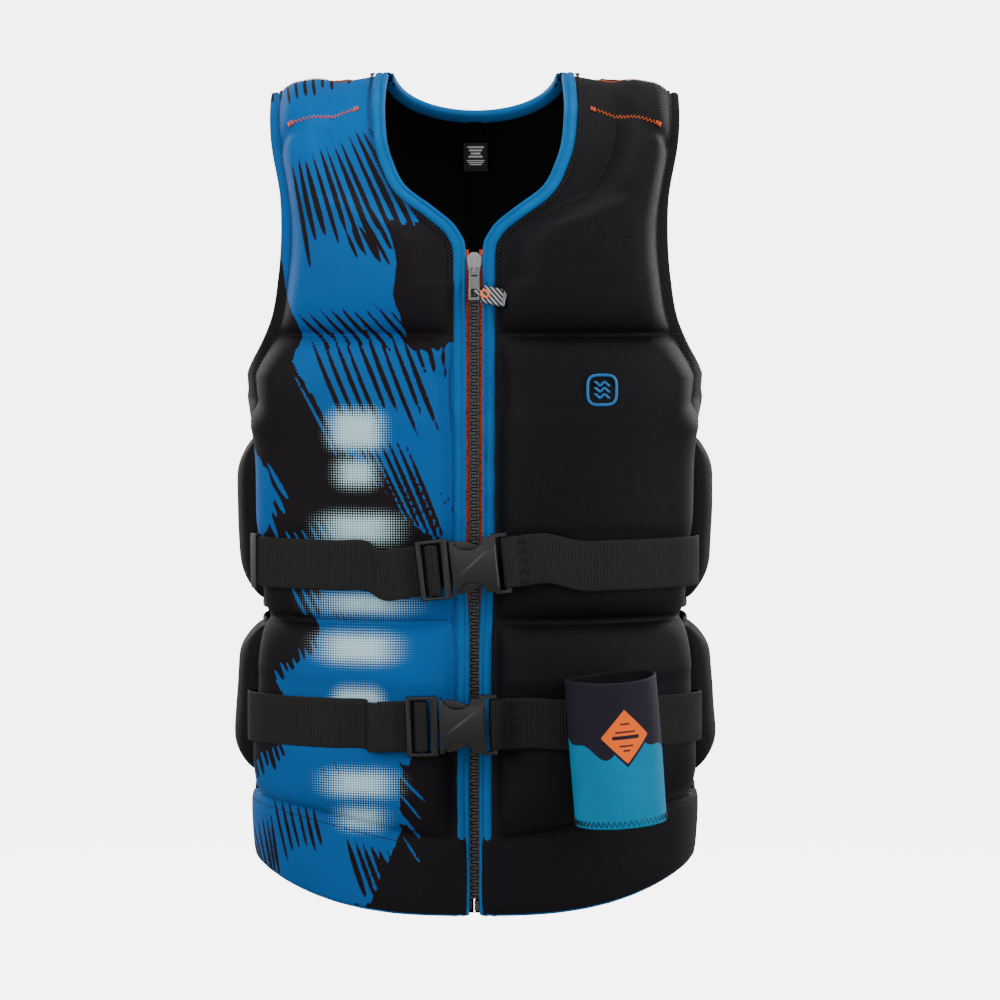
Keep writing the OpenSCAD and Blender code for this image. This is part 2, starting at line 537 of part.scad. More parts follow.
module zip_pull() color("#8a8b8d") zip_pull_solid();
module pull_tab() color("#222222") pull_tab_solid();
module back_shell_right() color("#17161b") back_shell();
module back_shell_left() color("#17161b") to_left() back_shell();
module back_foam_pair(rows) for (m = [0, 1]) mirror([m, 0, 0])
    back_layer(rows, foam_columns, foam_in, foam_out);
module back_foam_upper() color("#d8d4c8") back_foam_pair(back_chest_rows);
module back_foam_middle() color("#d8d4c8") back_foam_pair([for (i = [0:4]) body_rows[i]]);
module back_foam_lower() color("#d8d4c8") back_foam_pair(lower_rows);
module back_lining_right() color("#0b0b0b") back_lining();
module back_lining_left() color("#0b0b0b") to_left() back_lining();
module back_hem_binding() color("#1a8fd2") for (m = [0, 1]) mirror([m, 0, 0])
    hem_tape(back_hem_angle, [for (u = hem_columns) min(u, 0.998)]);
module back_neck_binding() color("#1a8fd2") for (m = [0, 1]) mirror([m, 0, 0]) back_neck_half();
module side_wing_upper_right() color("#111114") wing(wing_upper_bottom, wing_upper_top);
module side_wing_upper_left() color("#111114") to_left() side_wing_upper_right();
module side_wing_lower_right() color("#111114") wing(wing_lower_bottom, wing_lower_top);
module side_wing_lower_left() color("#111114") to_left() side_wing_lower_right();
module side_panel_right() color("#0b0b0b") side_panel();
module side_panel_left() color("#0b0b0b") to_left() side_panel();
module upper_belt_right() color("#2a2925") right_belt(upper_belt_z, upper_buckle, upper_tilt);
module upper_belt_left() color("#2a2925") left_upper_belt();
module lower_belt_right() color("#2a2925") right_belt(lower_belt_z, lower_buckle, lower_tilt);
module lower_belt_left() color("#2a2925") left_lower_belt();
module upper_male_buckle() color("#2e2d2b") at_buckle(upper_buckle, upper_tilt) male_buckle();
module upper_female_buckle() color("#2e2d2b") at_buckle(upper_buckle, upper_tilt) female_buckle();
module lower_male_buckle() color("#2e2d2b") at_buckle(lower_buckle, lower_tilt) male_buckle();
module lower_female_buckle() color("#2e2d2b") at_buckle(lower_buckle, lower_tilt) female_buckle();
module upper_prong_top() color("#3a3936") at_buckle(upper_buckle, upper_tilt) prong(1);
module upper_prong_bottom() color("#3a3936") at_buckle(upper_buckle, upper_tilt) prong(-1);
module lower_prong_top() color("#3a3936") at_buckle(lower_buckle, lower_tilt) prong(1);
module lower_prong_bottom() color("#3a3936") at_buckle(lower_buckle, lower_tilt) prong(-1);
module belt_keeper() color("#151515") keeper();
module chest_badge() color("#1f7fc0") badge();
module neck_label() color("#1c1c1c") label();
module cooler_sleeve() color("#1790bd") at_cooler_axis() cooler_tube();
module cooler_base() color("#241f2b") at_cooler_axis() translate([0, 0, -cooler_depth - cooler_wall])
    cylinder(h = cooler_wall, r = cooler_r, $fn = 96);
module cooler_loop() color("#17161b") belt_loop();

front_shell_right();
front_shell_left();
chest_foam_right();
chest_foam_left();
body_foam_right();
body_foam_left();
lower_foam_right();
lower_foam_left();
front_lining_right();
front_lining_left();
edge_binding_right();
edge_binding_left();
hem_binding_right();
hem_binding_left();
zip_tape_right();
zip_tape_left();
zip_teeth_right();
zip_teeth_left();
zip_pin();
zip_box();
zip_slider();
zip_pull();
pull_tab();
back_shell_right();
back_shell_left();
back_foam_upper();
back_foam_middle();
back_foam_lower();
back_lining_right();
back_lining_left();
back_hem_binding();
back_neck_binding();
side_wing_upper_right();
side_wing_upper_left();
side_wing_lower_right();
side_wing_lower_left();
side_panel_right();
side_panel_left();
upper_belt_right();
upper_belt_left();
lower_belt_right();
lower_belt_left();
upper_male_buckle();
upper_female_buckle();
lower_male_buckle();
lower_female_buckle();
upper_prong_top();
upper_prong_bottom();
lower_prong_top();
lower_prong_bottom();
belt_keeper();
chest_badge();
neck_label();
cooler_sleeve();
cooler_base();
cooler_loop();
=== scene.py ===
import math

import bmesh
import bpy
import numpy as np
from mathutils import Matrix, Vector


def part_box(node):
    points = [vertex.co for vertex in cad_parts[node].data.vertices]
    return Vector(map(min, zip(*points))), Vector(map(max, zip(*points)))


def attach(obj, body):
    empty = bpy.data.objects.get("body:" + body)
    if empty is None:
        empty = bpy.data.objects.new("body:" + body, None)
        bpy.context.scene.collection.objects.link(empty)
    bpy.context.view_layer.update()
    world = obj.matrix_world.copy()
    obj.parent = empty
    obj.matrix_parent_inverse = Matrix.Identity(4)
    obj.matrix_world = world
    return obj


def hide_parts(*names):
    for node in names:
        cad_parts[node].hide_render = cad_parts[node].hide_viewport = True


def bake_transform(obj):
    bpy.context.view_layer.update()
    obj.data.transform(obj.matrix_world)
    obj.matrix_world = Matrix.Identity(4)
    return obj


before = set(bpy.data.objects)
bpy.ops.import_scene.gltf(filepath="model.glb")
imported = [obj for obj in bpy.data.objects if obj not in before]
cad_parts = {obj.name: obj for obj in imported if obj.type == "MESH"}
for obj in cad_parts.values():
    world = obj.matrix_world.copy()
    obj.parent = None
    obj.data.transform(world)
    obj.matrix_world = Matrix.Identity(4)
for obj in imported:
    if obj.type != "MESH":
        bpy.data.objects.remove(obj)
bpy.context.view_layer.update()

# ---- Studio: a round cove of self-lit paper, two broad soft lights, a top light, two rims and a weak fill ----
# The vest is worn by an unseen form, so the paper lies a little below the hem. The cove stands all round, so that
# every view has the same pale ground, and it is kept out of reflections and shadows.
MM = 0.001


def linear(code):
    """An sRGB hex colour as linear red, green, blue and alpha."""
    parts = [int(code[i:i + 2], 16) / 255 for i in (1, 3, 5)]
    return [c / 12.92 if c <= 0.04045 else ((c + 0.055) / 1.055) ** 2.4 for c in parts] + [1.0]


def add(tree, kind, inputs=None, **settings):
    """Adds a node with its settings; an input that is a socket is linked, any other is set."""
    made = tree.nodes.new(kind)
    for name, value in settings.items():
        setattr(made, name, value)
    for name, value in (inputs or {}).items():
        if isinstance(value, bpy.types.NodeSocket):
            tree.links.new(value, made.inputs[name])
        else:
            made.inputs[name].default_value = value
    return made


def new_material(name):
    """An empty material with its output, its tree and the object coordinates in metres."""
    material = bpy.data.materials.new(name)
    material.use_nodes = True
    material.node_tree.nodes.clear()
    tree = material.node_tree
    where = add(tree, "ShaderNodeTexCoord").outputs["Object"]
    return material, tree, where


def finish_material(tree, shader):
    add(tree, "ShaderNodeOutputMaterial", {"Surface": shader.outputs[0]})


def mesh_object(name, points, faces, material, smooth=True):
    data = bpy.data.meshes.new(name)
    data.from_pydata([tuple(p) for p in points], [], faces)
    data.materials.append(material)
    data.polygons.foreach_set("use_smooth", [smooth] * len(data.polygons))
    data.update()
    made = bpy.data.objects.new(name, data)
    bpy.context.scene.collection.objects.link(made)
    return made


def facing_out(piece):
    """Turns a closed piece's faces outwards."""
    mesh = bmesh.new()
    mesh.from_mesh(piece.data)
    if mesh.calc_volume(signed=True) < 0:
        bmesh.ops.reverse_faces(mesh, faces=mesh.faces)
    mesh.to_mesh(piece.data)
    mesh.free()
    return piece


paper, tree, where = new_material("white_paper")
finish_material(tree, add(tree, "ShaderNodeBsdfPrincipled", {
    "Base Color": linear("#fbfbfb"), "Roughness": 0.9, "Emission Color": linear("#ffffff"),
    "Emission Strength": 5.0}))
COVE_REACH, COVE_BEND, COVE_HIGH, FLOOR_AT, SPOKES = 5.0, 1.5, 7.0, -0.3, 96
bend = np.linspace(0, math.pi / 2, 14)
cove_profile = [(0.05, FLOOR_AT), (2.5, FLOOR_AT)] + [
    (COVE_REACH + COVE_BEND * math.sin(a), FLOOR_AT + COVE_BEND * (1 - math.cos(a))) for a in bend]
cove_profile.append((COVE_REACH + COVE_BEND, COVE_HIGH))
spokes = np.linspace(0, 2 * math.pi, SPOKES, endpoint=False)
cove_points = [(r * math.cos(a), r * math.sin(a), z) for r, z in cove_profile for a in spokes]
cove_faces = [(i + k, i + (k + 1) % SPOKES, i + SPOKES + (k + 1) % SPOKES, i + SPOKES + k)
              for i in range(0, (len(cove_profile) - 1) * SPOKES, SPOKES) for k in range(SPOKES)]
cove = mesh_object("paper_cove", cove_points, cove_faces + [tuple(range(SPOKES - 1, -1, -1))], paper)
cove.visible_diffuse = False
cove.visible_glossy = False
cove.visible_shadow = False


def area_light(name, at, aim, size, power):
    light = bpy.data.lights.new(name, "AREA")
    light.shape = "RECTANGLE"
    light.size, light.size_y = size
    light.energy = power
    holder = bpy.data.objects.new(name, light)
    bpy.context.scene.collection.objects.link(holder)
    holder.location = at
    holder.rotation_euler = (Vector(aim) - Vector(at)).to_track_quat("-Z", "Y").to_euler()


chest = (0, 0, 0.34)
area_light("key_left", (-1.9, -1.7, 1.2), chest, (1.2, 1.8), 40)
area_light("soft_right", (2.1, -1.1, 0.9), chest, (0.9, 1.8), 35)
area_light("top", (0.1, -0.3, 2.3), chest, (1.6, 1.2), 25)
area_light("front_fill", (0.2, -3.2, 0.9), chest, (2.4, 1.4), 13)
area_light("rim_left", (-1.4, 1.5, 1.0), chest, (0.7, 1.6), 24)
area_light("rim_right", (1.5, 1.4, 1.0), chest, (0.7, 1.6), 24)
world = bpy.data.worlds.new("studio_air")
world.use_nodes = True
world.node_tree.nodes["Background"].inputs["Color"].default_value = (1, 1, 1, 1)
world.node_tree.nodes["Background"].inputs["Strength"].default_value = 0.5
bpy.context.scene.world = world

camera_distance, frame_span = 3.2, 0.783
camera_rise = math.radians(4)
look_at = Vector((0.0195, 0, 0.3115))
camera = bpy.data.cameras.new("camera")
camera.lens = camera.sensor_width * camera_distance / frame_span
holder = bpy.data.objects.new("camera", camera)
bpy.context.scene.collection.objects.link(holder)
holder.location = look_at + Vector((0, -math.cos(camera_rise), math.sin(camera_rise))) * camera_distance
holder.rotation_euler = (look_at - holder.location).to_track_quat("-Z", "Y").to_euler()
bpy.context.scene.camera = holder

# ---- The worn shape: the body's surface that every sewn piece follows ----
# A squarish egg section, straight up the chest and closing over the shoulders. Lengths here are in mm.
# A row s is a height up to DOME and then runs over the shoulder; phi is 0 at the front and 180 at the back.
WIDTH = (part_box("side_wing_upper_left")[1].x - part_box("side_wing_upper_right")[0].x) / MM - 2
WING_T = 22
DEPTH = 98
LINING_T, SEAM_T, FULL_T = 2, 6, 25
DOME, ARC = 470, 2.6
TOP = 648
CROWN = TOP - SEAM_T - 4
SHOULDER_ROW = DOME + 89.8 * ARC
HEM_SEAM, HEM_SEAM_RISE, HEM_RISE = 60, 28, 40
WAIST, CHEST, ARMPIT = 226, 444, 398
EDGE, EDGE_LOW = 6, 3.6
NECK_LOW = TOP - 134
NECK_HALF, SHOULDER_HALF = 68, 160
BACK_DIP = 36
PANEL_SIDE, WRAP_SIDE, WING_SIDE, UNDERARM = 68, 84, 71, 79
POWER = 2 / 2.6


def eased(x, xs, ys):
    """Smooth curve through a few points."""
    xs, ys = np.asarray(xs, float), np.asarray(ys, float)
    slope = np.gradient(ys, xs)
    i = np.clip(np.searchsorted(xs, x) - 1, 0, len(xs) - 2)
    h = xs[i + 1] - xs[i]
    t = np.clip((x - xs[i]) / h, 0, 1)
    return ((2 * t**3 - 3 * t**2 + 1) * ys[i] + (t**3 - 2 * t**2 + t) * h * slope[i]
            + (3 * t**2 - 2 * t**3) * ys[i + 1] + (t**3 - t**2) * h * slope[i + 1])


def step(lo, hi, x):
    t = np.clip((x - lo) / (hi - lo), 0, 1)
    return t * t * (3 - 2 * t)


def row_z(s):
    over = DOME + (CROWN - DOME) * np.sin(np.radians((s - DOME) / ARC))
    return np.where(s <= DOME, s, over)


def row_at(z):
    lift = np.clip((z - DOME) / (CROWN - DOME), 0, 1)
    return np.where(z <= DOME, z, DOME + ARC * np.degrees(np.arcsin(lift)))


def half_w(s):
    return WIDTH / 2 - WING_T + eased(row_z(s), [0, 90, 150, WAIST, 310, 360, ARMPIT, 450, 520, TOP],
                                      [1, 4, 1, -3, 0, 2, 9, 11, 12, 14])


def level(s, x):
    hem = HEM_RISE * (np.abs(x) / 173) ** 3
    seam = HEM_SEAM + HEM_SEAM_RISE * (1 - np.cos(np.radians(np.minimum(180, np.abs(x))))) / 2
    crown = CROWN - 16 * np.clip((np.abs(x) - NECK_HALF) / (SHOULDER_HALF - NECK_HALF), 0, 1)
    low = hem + (seam - hem) * s / HEM_SEAM
    middle = seam + (WAIST - seam) * (s - HEM_SEAM) / (WAIST - HEM_SEAM)
    over = DOME + (crown - DOME) * np.sin(np.radians((s - DOME) / ARC))
    return np.select([s < HEM_SEAM, s < WAIST, s <= DOME], [low, middle, s], over)


def body_point(phi, s):
    phi, s = np.broadcast_arrays(np.asarray(phi, float), np.asarray(s, float))
    a = np.radians(phi)
    x = half_w(s) * np.sin(a) ** POWER
    back = DEPTH * eased(row_z(s), [0, WAIST, ARMPIT, TOP], [0.98, 0.9, 1, 1])
    depth = np.where(np.cos(a) > 0, DEPTH, back)
    fall = np.where(s <= DOME, 1, np.cos(np.radians((s - DOME) / ARC)))
    y = -depth * fall * np.sign(np.cos(a)) * np.abs(np.cos(a)) ** POWER
    return np.stack([-x, y, level(s, x)], -1)


def unit(v):
    return v / np.maximum(np.linalg.norm(v, axis=-1, keepdims=True), 1e-9)


def body_normal(phi, s):
    across = body_point(np.minimum(phi + 0.6, 179.9), s) - body_point(np.maximum(phi - 0.6, 0.1), s)
    up = body_point(phi, s + 0.8) - body_point(phi, s - 0.8)
    return unit(np.cross(up, across))


def angle_at(x, s):
    share = np.clip(x / half_w(s), 0, 0.9999)
    return np.degrees(np.arcsin(share ** (1 / POWER)))


def front_inner(s):
    z = row_z(s)
    edge = EDGE_LOW + (EDGE - EDGE_LOW) * step(WAIST - 20, WAIST + 60, z)
    neck = EDGE + (NECK_HALF - EDGE) * eased((z - NECK_LOW) / 134, [0, 0.09, 0.19, 0.29, 0.45, 0.73, 1],
                                             [0.03, 0.14, 0.4, 0.7, 0.9, 1, 0.97])
    return edge + (neck - edge) * step(NECK_LOW - 12, NECK_LOW + 8, z)


def back_inner(s):
    t = np.clip((row_z(s) - TOP + BACK_DIP) / BACK_DIP, 0, 1)
    return NECK_HALF * 0.97 * np.sqrt(np.clip(1 - (1 - t) ** 2.4, 0, 1))


def back_neck_row(x):
    """The row of the back neckline at a half width."""
    share = np.clip(x / (NECK_HALF * 0.97), 0, 1) ** 2
    return np.minimum(SHOULDER_ROW, row_at(TOP - BACK_DIP + BACK_DIP * (1 - (1 - share) ** (1 / 2.4))))


def arm_x(z):
    return SHOULDER_HALF + eased((z - ARMPIT) / (TOP - ARMPIT), [0, 0.08, 0.16, 0.22, 0.36, 0.5, 0.62, 0.8, 1],
                                 [16, 9, -1, -7, -13, -15, -14, -6, -2])


def side_angle(s):
    """Section angle of a panel's side edge: slit above the hem band, wing, then armhole."""
    z = row_z(s)
    below = WRAP_SIDE + (PANEL_SIDE - WRAP_SIDE) * step(HEM_SEAM - 1, HEM_SEAM + 5, z)
    below = below + (UNDERARM - PANEL_SIDE) * step(ARMPIT - 34, ARMPIT - 20, z)
    above = np.minimum(UNDERARM, angle_at(arm_x(z), s))
    return np.where(z < ARMPIT, below, above)


def swell(t, power=5.0):
    return np.sqrt(np.clip(1 - np.abs(2 * np.clip(t, 0, 1) - 1) ** power, 0, 1))


def ripple(x, z, seed, scale):
    """Gentle unevenness of hand-filled foam, from a few seeded waves."""
    rng = np.random.default_rng(seed)
    total = 0
    for k in range(6):
        wave = rng.normal(size=2)
        wave = wave / np.linalg.norm(wave) * 2 * math.pi / (scale * rng.uniform(0.7, 1.6))
        total = total + np.sin(wave[0] * x + wave[1] * z + rng.uniform(0, 6.3))
    return total / 6


UPPER_BELT, LOWER_BELT = 270, 150
ARM_STRIP = 9
SHOULDER_TACK = (88, 612), (137, 595)


def panel_t(s, u, seed, belts=True):
    """Thickness of a padded panel: full between its seams, pinched and puckered at them."""
    side = side_angle(s)
    z = row_z(s)
    padded_to = PANEL_SIDE + (90 - PANEL_SIDE) * step(ARMPIT - 22, ARMPIT + 4, z)
    end = np.where(s > HEM_SEAM, np.minimum(side, padded_to), side)
    across = (u * side / end - 0.035) / 0.965
    low = (s - HEM_SEAM) / (WAIST - HEM_SEAM)
    mid = (s - WAIST) / (CHEST - WAIST)
    top = np.clip((s - CHEST) / (SHOULDER_ROW - CHEST), 0, 1)
    full = FULL_T + 2.2
    if belts:
        for belt in (UPPER_BELT, LOWER_BELT):
            full = full - 2.6 * np.exp(-(np.abs(s - belt) / 26) ** 6)
    block = np.select([s < WAIST, s < CHEST], [swell(low), swell(mid)], swell(np.minimum(0.5, top * 2)))
    fade = np.where(s > CHEST, 1 - 0.8 * top ** 1.5, 1)
    t = SEAM_T + (full - SEAM_T) * swell(across) * block * fade
    band = SEAM_T + 3.2 * swell(np.clip(s / HEM_SEAM, 0, 1), 3)
    t = np.where(s <= HEM_SEAM, band, t)
    x = half_w(s) * np.sin(np.radians(u * side)) ** POWER
    near = np.minimum(np.minimum(np.abs(s - HEM_SEAM), np.abs(s - WAIST)), np.abs(s - CHEST))
    pucker = 0.55 * np.exp(-near / 7) * ripple(x * 6, s * 0.6, seed, 60)
    t = t + pucker + 0.9 * ripple(x, s, seed + 3, 110) * swell(across)
    # Armhole: a flat strip outside its seam, and the foam rising inside it
    from_edge = (half_w(s) * np.sin(np.radians(side)) ** POWER - x) * 1.05
    strip = SEAM_T - 1.4 + 1.8 * swell(from_edge / ARM_STRIP, 3)
    padded = SEAM_T - 1.4 + (t - SEAM_T + 1.4) * np.sqrt(step(ARM_STRIP - 1, ARM_STRIP + 26, from_edge))
    arm = np.where(from_edge < ARM_STRIP, strip, padded)
    t = t + (arm - t) * step(ARMPIT - 24, ARMPIT - 4, z)
    # Necklines: the foam starts outside the binding
    if belts:
        slope = (front_inner(s + 1) - front_inner(s - 1)) / 2
        off = (x - front_inner(s)) / np.sqrt(1 + slope**2)
        off = np.where(z > NECK_LOW - 30, off, 99)
    else:
        off = np.hypot(np.maximum(x - NECK_HALF, 0), np.maximum(back_neck_row(x) - s, 0))
    t = SEAM_T - 0.6 + (t - SEAM_T + 0.6) * np.sqrt(step(9, 40, off))
    # Shoulder tack: a short dent where the orange stitching pulls the foam down
    (ax, az), (bx, bz) = SHOULDER_TACK
    along = np.clip(((x - ax) * (bx - ax) + (z - az) * (bz - az)) / ((bx - ax) ** 2 + (bz - az) ** 2), 0, 1)
    off = np.hypot(x - ax - along * (bx - ax), z - az - along * (bz - az))
    return t - np.where(s > CHEST, 2.6 * np.exp(-(off / 6) ** 2) + 1.2 * np.exp(-(off / 15) ** 2), 0)


def spaced(start, stop, pitch, fine=4.0):
    """Stations that are closer together at both ends, for rounded edges."""
    ends = np.array([0, 0.12, 0.35, 0.7, 1.15, 1.8, 2.6]) * fine / 2.6
    count = max(2, int((stop - start - 2 * fine) / pitch))
    middle = np.linspace(start + fine, stop - fine, count + 1)
    return np.concatenate([start + ends[:-1], middle, (stop - ends[:-1])[::-1]])


def slab(name, outer, inner, rim, material, side=-1):
    """A closed sheet between two grids of points, with its rim rounded over; side 1 mirrors it."""
    rows, cols = outer.shape[:2]
    middle = (outer + inner) / 2
    outer = middle + (outer - middle) * rim[..., None]
    inner = middle + (inner - middle) * rim[..., None]
    index = np.arange(rows * cols).reshape(rows, cols)
    a, b, c, d = index[:-1, :-1], index[:-1, 1:], index[1:, 1:], index[1:, :-1]
    quads = np.stack([a, d, c, b], -1).reshape(-1, 4)
    n = rows * cols
    border = np.concatenate([index[0, :], index[1:, -1], index[-1, -2::-1], index[-2:0:-1, 0]])
    turned = np.roll(border, -1)
    walls = np.stack([border, turned, turned + n, border + n], -1)
    faces = np.concatenate([quads, quads[:, ::-1] + n, walls])
    points = np.concatenate([outer.reshape(-1, 3), inner.reshape(-1, 3)]) * MM
    if side > 0:
        points = points * [-1, 1, 1]
    return facing_out(mesh_object(name, points, faces.tolist(), material))


def rim_of(along_s, along_u, width_s, width_u, radius):
    """1 inside a sheet, falling in a quarter circle to 0 at its border; the arguments are mm from each border."""
    d = np.minimum(np.minimum(along_s, width_s - along_s), np.minimum(along_u, width_u - along_u))
    return np.sqrt(np.clip(1 - (1 - np.clip(d / radius, 0, 1)) ** 2, 0, 1)) * 0.96 + 0.04


def store(piece, name, values):
    """Keeps a value at each point of a piece's outer face, and repeats it on the inner face."""
    flat = np.asarray(values, np.float32).reshape(-1)
    full = np.resize(flat, len(piece.data.vertices))
    piece.data.attributes.new(name, "FLOAT", "POINT").data.foreach_set("value", full)


def panel_grid(s, u, back=False):
    """Section angles and rows of a panel from its inner edge to its side edge."""
    s, u = np.meshgrid(s, u, indexing="ij")
    start = angle_at(back_inner(s), s) if back else angle_at(front_inner(s) + 2, s)
    phi = start + (side_angle(s) - start) * u
    return s, u, (180 - phi if back else phi)


# ---- Neoprene: 3 mm foamed rubber faced with jersey ----
# The jersey gives a soft, slightly hairy matt face; its knit is about 0.5 mm, drawn at 0.9 mm so that it shows.


def knit(tree, where, pitch_mm, strength):
    """Bump of a fine jersey face at a real pitch."""
    loops = add(tree, "ShaderNodeTexVoronoi", {"Vector": where, "Scale": 1000 / pitch_mm, "Randomness": 0.55})
    fuzz = add(tree, "ShaderNodeTexNoise", {"Vector": where, "Scale": 1000 / (pitch_mm * 3), "Detail": 4.0})
    height = add(tree, "ShaderNodeMath", {0: loops.outputs["Distance"], 1: fuzz.outputs["Fac"]}, operation="ADD")
    return add(tree, "ShaderNodeBump", {"Height": height.outputs[0], "Strength": strength, "Distance": 0.0004})


black_neoprene, tree, where = new_material("embossed_neoprene")
# Rows of pressed dimples, 3.4 by 2.2 mm, each row shifted by half a dimple
parts = add(tree, "ShaderNodeSeparateXYZ", {"Vector": where})
turned = add(tree, "ShaderNodeCombineXYZ", {"X": parts.outputs["X"], "Y": parts.outputs["Z"]})
dimples = add(tree, "ShaderNodeTexBrick", {
    "Vector": turned.outputs[0], "Scale": 1.0, "Mortar Size": 0.00055, "Mortar Smooth": 0.9,
    "Brick Width": 0.0034, "Row Height": 0.0022, "Color1": (1, 1, 1, 1), "Color2": (1, 1, 1, 1),
    "Mortar": (0, 0, 0, 1)})
pressed = add(tree, "ShaderNodeBump", {
    "Height": dimples.outputs["Color"], "Strength": 0.42, "Distance": 0.0003,
    "Normal": knit(tree, where, 0.9, 0.25).outputs[0]})
wear = add(tree, "ShaderNodeTexNoise", {"Vector": where, "Scale": 9.0, "Detail": 5.0})
tone = add(tree, "ShaderNodeMix", {
    "Factor": wear.outputs["Fac"], "A": linear("#060508"), "B": linear("#0d0c11")}, data_type="RGBA")
gloss = add(tree, "ShaderNodeMapRange", {"Value": wear.outputs["Fac"], "To Min": 0.5, "To Max": 0.66})
finish_material(tree, add(tree, "ShaderNodeBsdfPrincipled", {
    "Base Color": tone.outputs[2], "Roughness": gloss.outputs[0], "Specular IOR Level": 0.13,
    "Normal": pressed.outputs[0]}))

plain_neoprene, tree, where = new_material("plain_neoprene")
wear = add(tree, "ShaderNodeTexNoise", {"Vector": where, "Scale": 14.0, "Detail": 5.0})
tone = add(tree, "ShaderNodeMix", {
    "Factor": wear.outputs["Fac"], "A": linear("#040405"), "B": linear("#08080b")}, data_type="RGBA")
finish_material(tree, add(tree, "ShaderNodeBsdfPrincipled", {
    "Base Color": tone.outputs[2], "Roughness": 0.66, "Specular IOR Level": 0.15,
    "Normal": knit(tree, where, 1.0, 0.35).outputs[0]}))

# ---- Printed neoprene of the wearer's right panel ----
# Dye-printed jersey: blue brushwork on charcoal, with a column of pale spots that fade in dots.
# The field "ink" is the distance in mm into the blue, and "glow" the distance into a pale spot.
printed_neoprene, tree, where = new_material("dye_printed_neoprene")
ink = add(tree, "ShaderNodeAttribute", attribute_name="ink")
glow = add(tree, "ShaderNodeAttribute", attribute_name="glow")
blot = add(tree, "ShaderNodeTexNoise", {"Vector": where, "Scale": 330.0, "Detail": 3.0})
edge = add(tree, "ShaderNodeMath", {0: blot.outputs["Fac"], 1: -0.5}, operation="ADD")
edge = add(tree, "ShaderNodeMath", {0: edge.outputs[0], 1: 0.9, 2: ink.outputs["Fac"]}, operation="MULTIPLY_ADD")
is_blue = add(tree, "ShaderNodeMapRange", {"Value": edge.outputs[0], "From Min": -0.16, "From Max": 0.16})
depth = add(tree, "ShaderNodeTexNoise", {"Vector": where, "Scale": 22.0, "Detail": 3.0})
blue = add(tree, "ShaderNodeMix", {
    "Factor": depth.outputs["Fac"], "A": linear("#004c8c"), "B": linear("#005c9f")}, data_type="RGBA")
rim_line = add(tree, "ShaderNodeMapRange", {"Value": edge.outputs[0], "From Min": -1.1, "From Max": -0.4})
dark = add(tree, "ShaderNodeMix", {
    "Factor": rim_line.outputs[0], "A": linear("#120d11"), "B": linear("#1c0804")}, data_type="RGBA")
print_mix = add(tree, "ShaderNodeMix", {
    "Factor": is_blue.outputs[0], "A": dark.outputs[2], "B": blue.outputs[2]}, data_type="RGBA")
DOT = 2 * math.pi / 1.9
dots = []
for axis in ("print_x", "print_z"):
    place = add(tree, "ShaderNodeAttribute", attribute_name=axis)
    turn = add(tree, "ShaderNodeMath", {0: place.outputs["Fac"], 1: DOT}, operation="MULTIPLY")
    dots.append(add(tree, "ShaderNodeMath", {0: turn.outputs[0]}, operation="SINE").outputs[0])
screen = add(tree, "ShaderNodeMath", {0: dots[0], 1: dots[1]}, operation="ADD")
tint = add(tree, "ShaderNodeMath", {
    0: screen.outputs[0], 1: 5.5, 2: glow.outputs["Fac"]}, operation="MULTIPLY_ADD")
is_pale = add(tree, "ShaderNodeMapRange", {"Value": tint.outputs[0], "From Min": -3.5, "From Max": 3.5})
face = add(tree, "ShaderNodeMix", {
    "Factor": is_pale.outputs[0], "A": print_mix.outputs[2], "B": linear("#b9dfe6")}, data_type="RGBA")
finish_material(tree, add(tree, "ShaderNodeBsdfPrincipled", {
    "Base Color": face.outputs[2], "Roughness": 0.66, "Specular IOR Level": 0.12,
    "Normal": knit(tree, where, 0.9, 0.3).outputs[0]}))


def inside_outline(x, z, outline):
    """Signed distance in mm into a closed outline."""
    best = np.full(x.shape, 1e9)
    inside = np.zeros(x.shape, bool)
    for (ax, az), (bx, bz) in zip(outline, outline[1:] + outline[:1]):
        ex, ez = bx - ax, bz - az
        t = np.clip(((x - ax) * ex + (z - az) * ez) / (ex * ex + ez * ez), 0, 1)
        best = np.minimum(best, np.hypot(x - ax - ex * t, z - az - ez * t))
        crosses = (az > z) != (bz > z)
        inside ^= crosses & (x < ax + (z - az) * ex / (ez if ez else 1e-9))
    return np.where(inside, best, -best)


def inside_stroke(x, z, start, end, half, bow=0.0):
    """Signed distance into one tapered brush stroke."""
    ex, ez = end[0] - start[0], end[1] - start[1]
    length = math.hypot(ex, ez)
    t = ((x - start[0]) * ex + (z - start[1]) * ez) / length**2
    off = ((x - start[0]) * ez - (z - start[1]) * ex) / length
    inside = np.clip(t, 0, 1)
    off = off - bow * length * inside * (1 - inside)
    width = half * 2.1 * inside**0.75 * (1 - inside)**0.5
    past = np.maximum(np.maximum(-t, t - 1), 0) * length
    return width - np.hypot(np.abs(off), past)


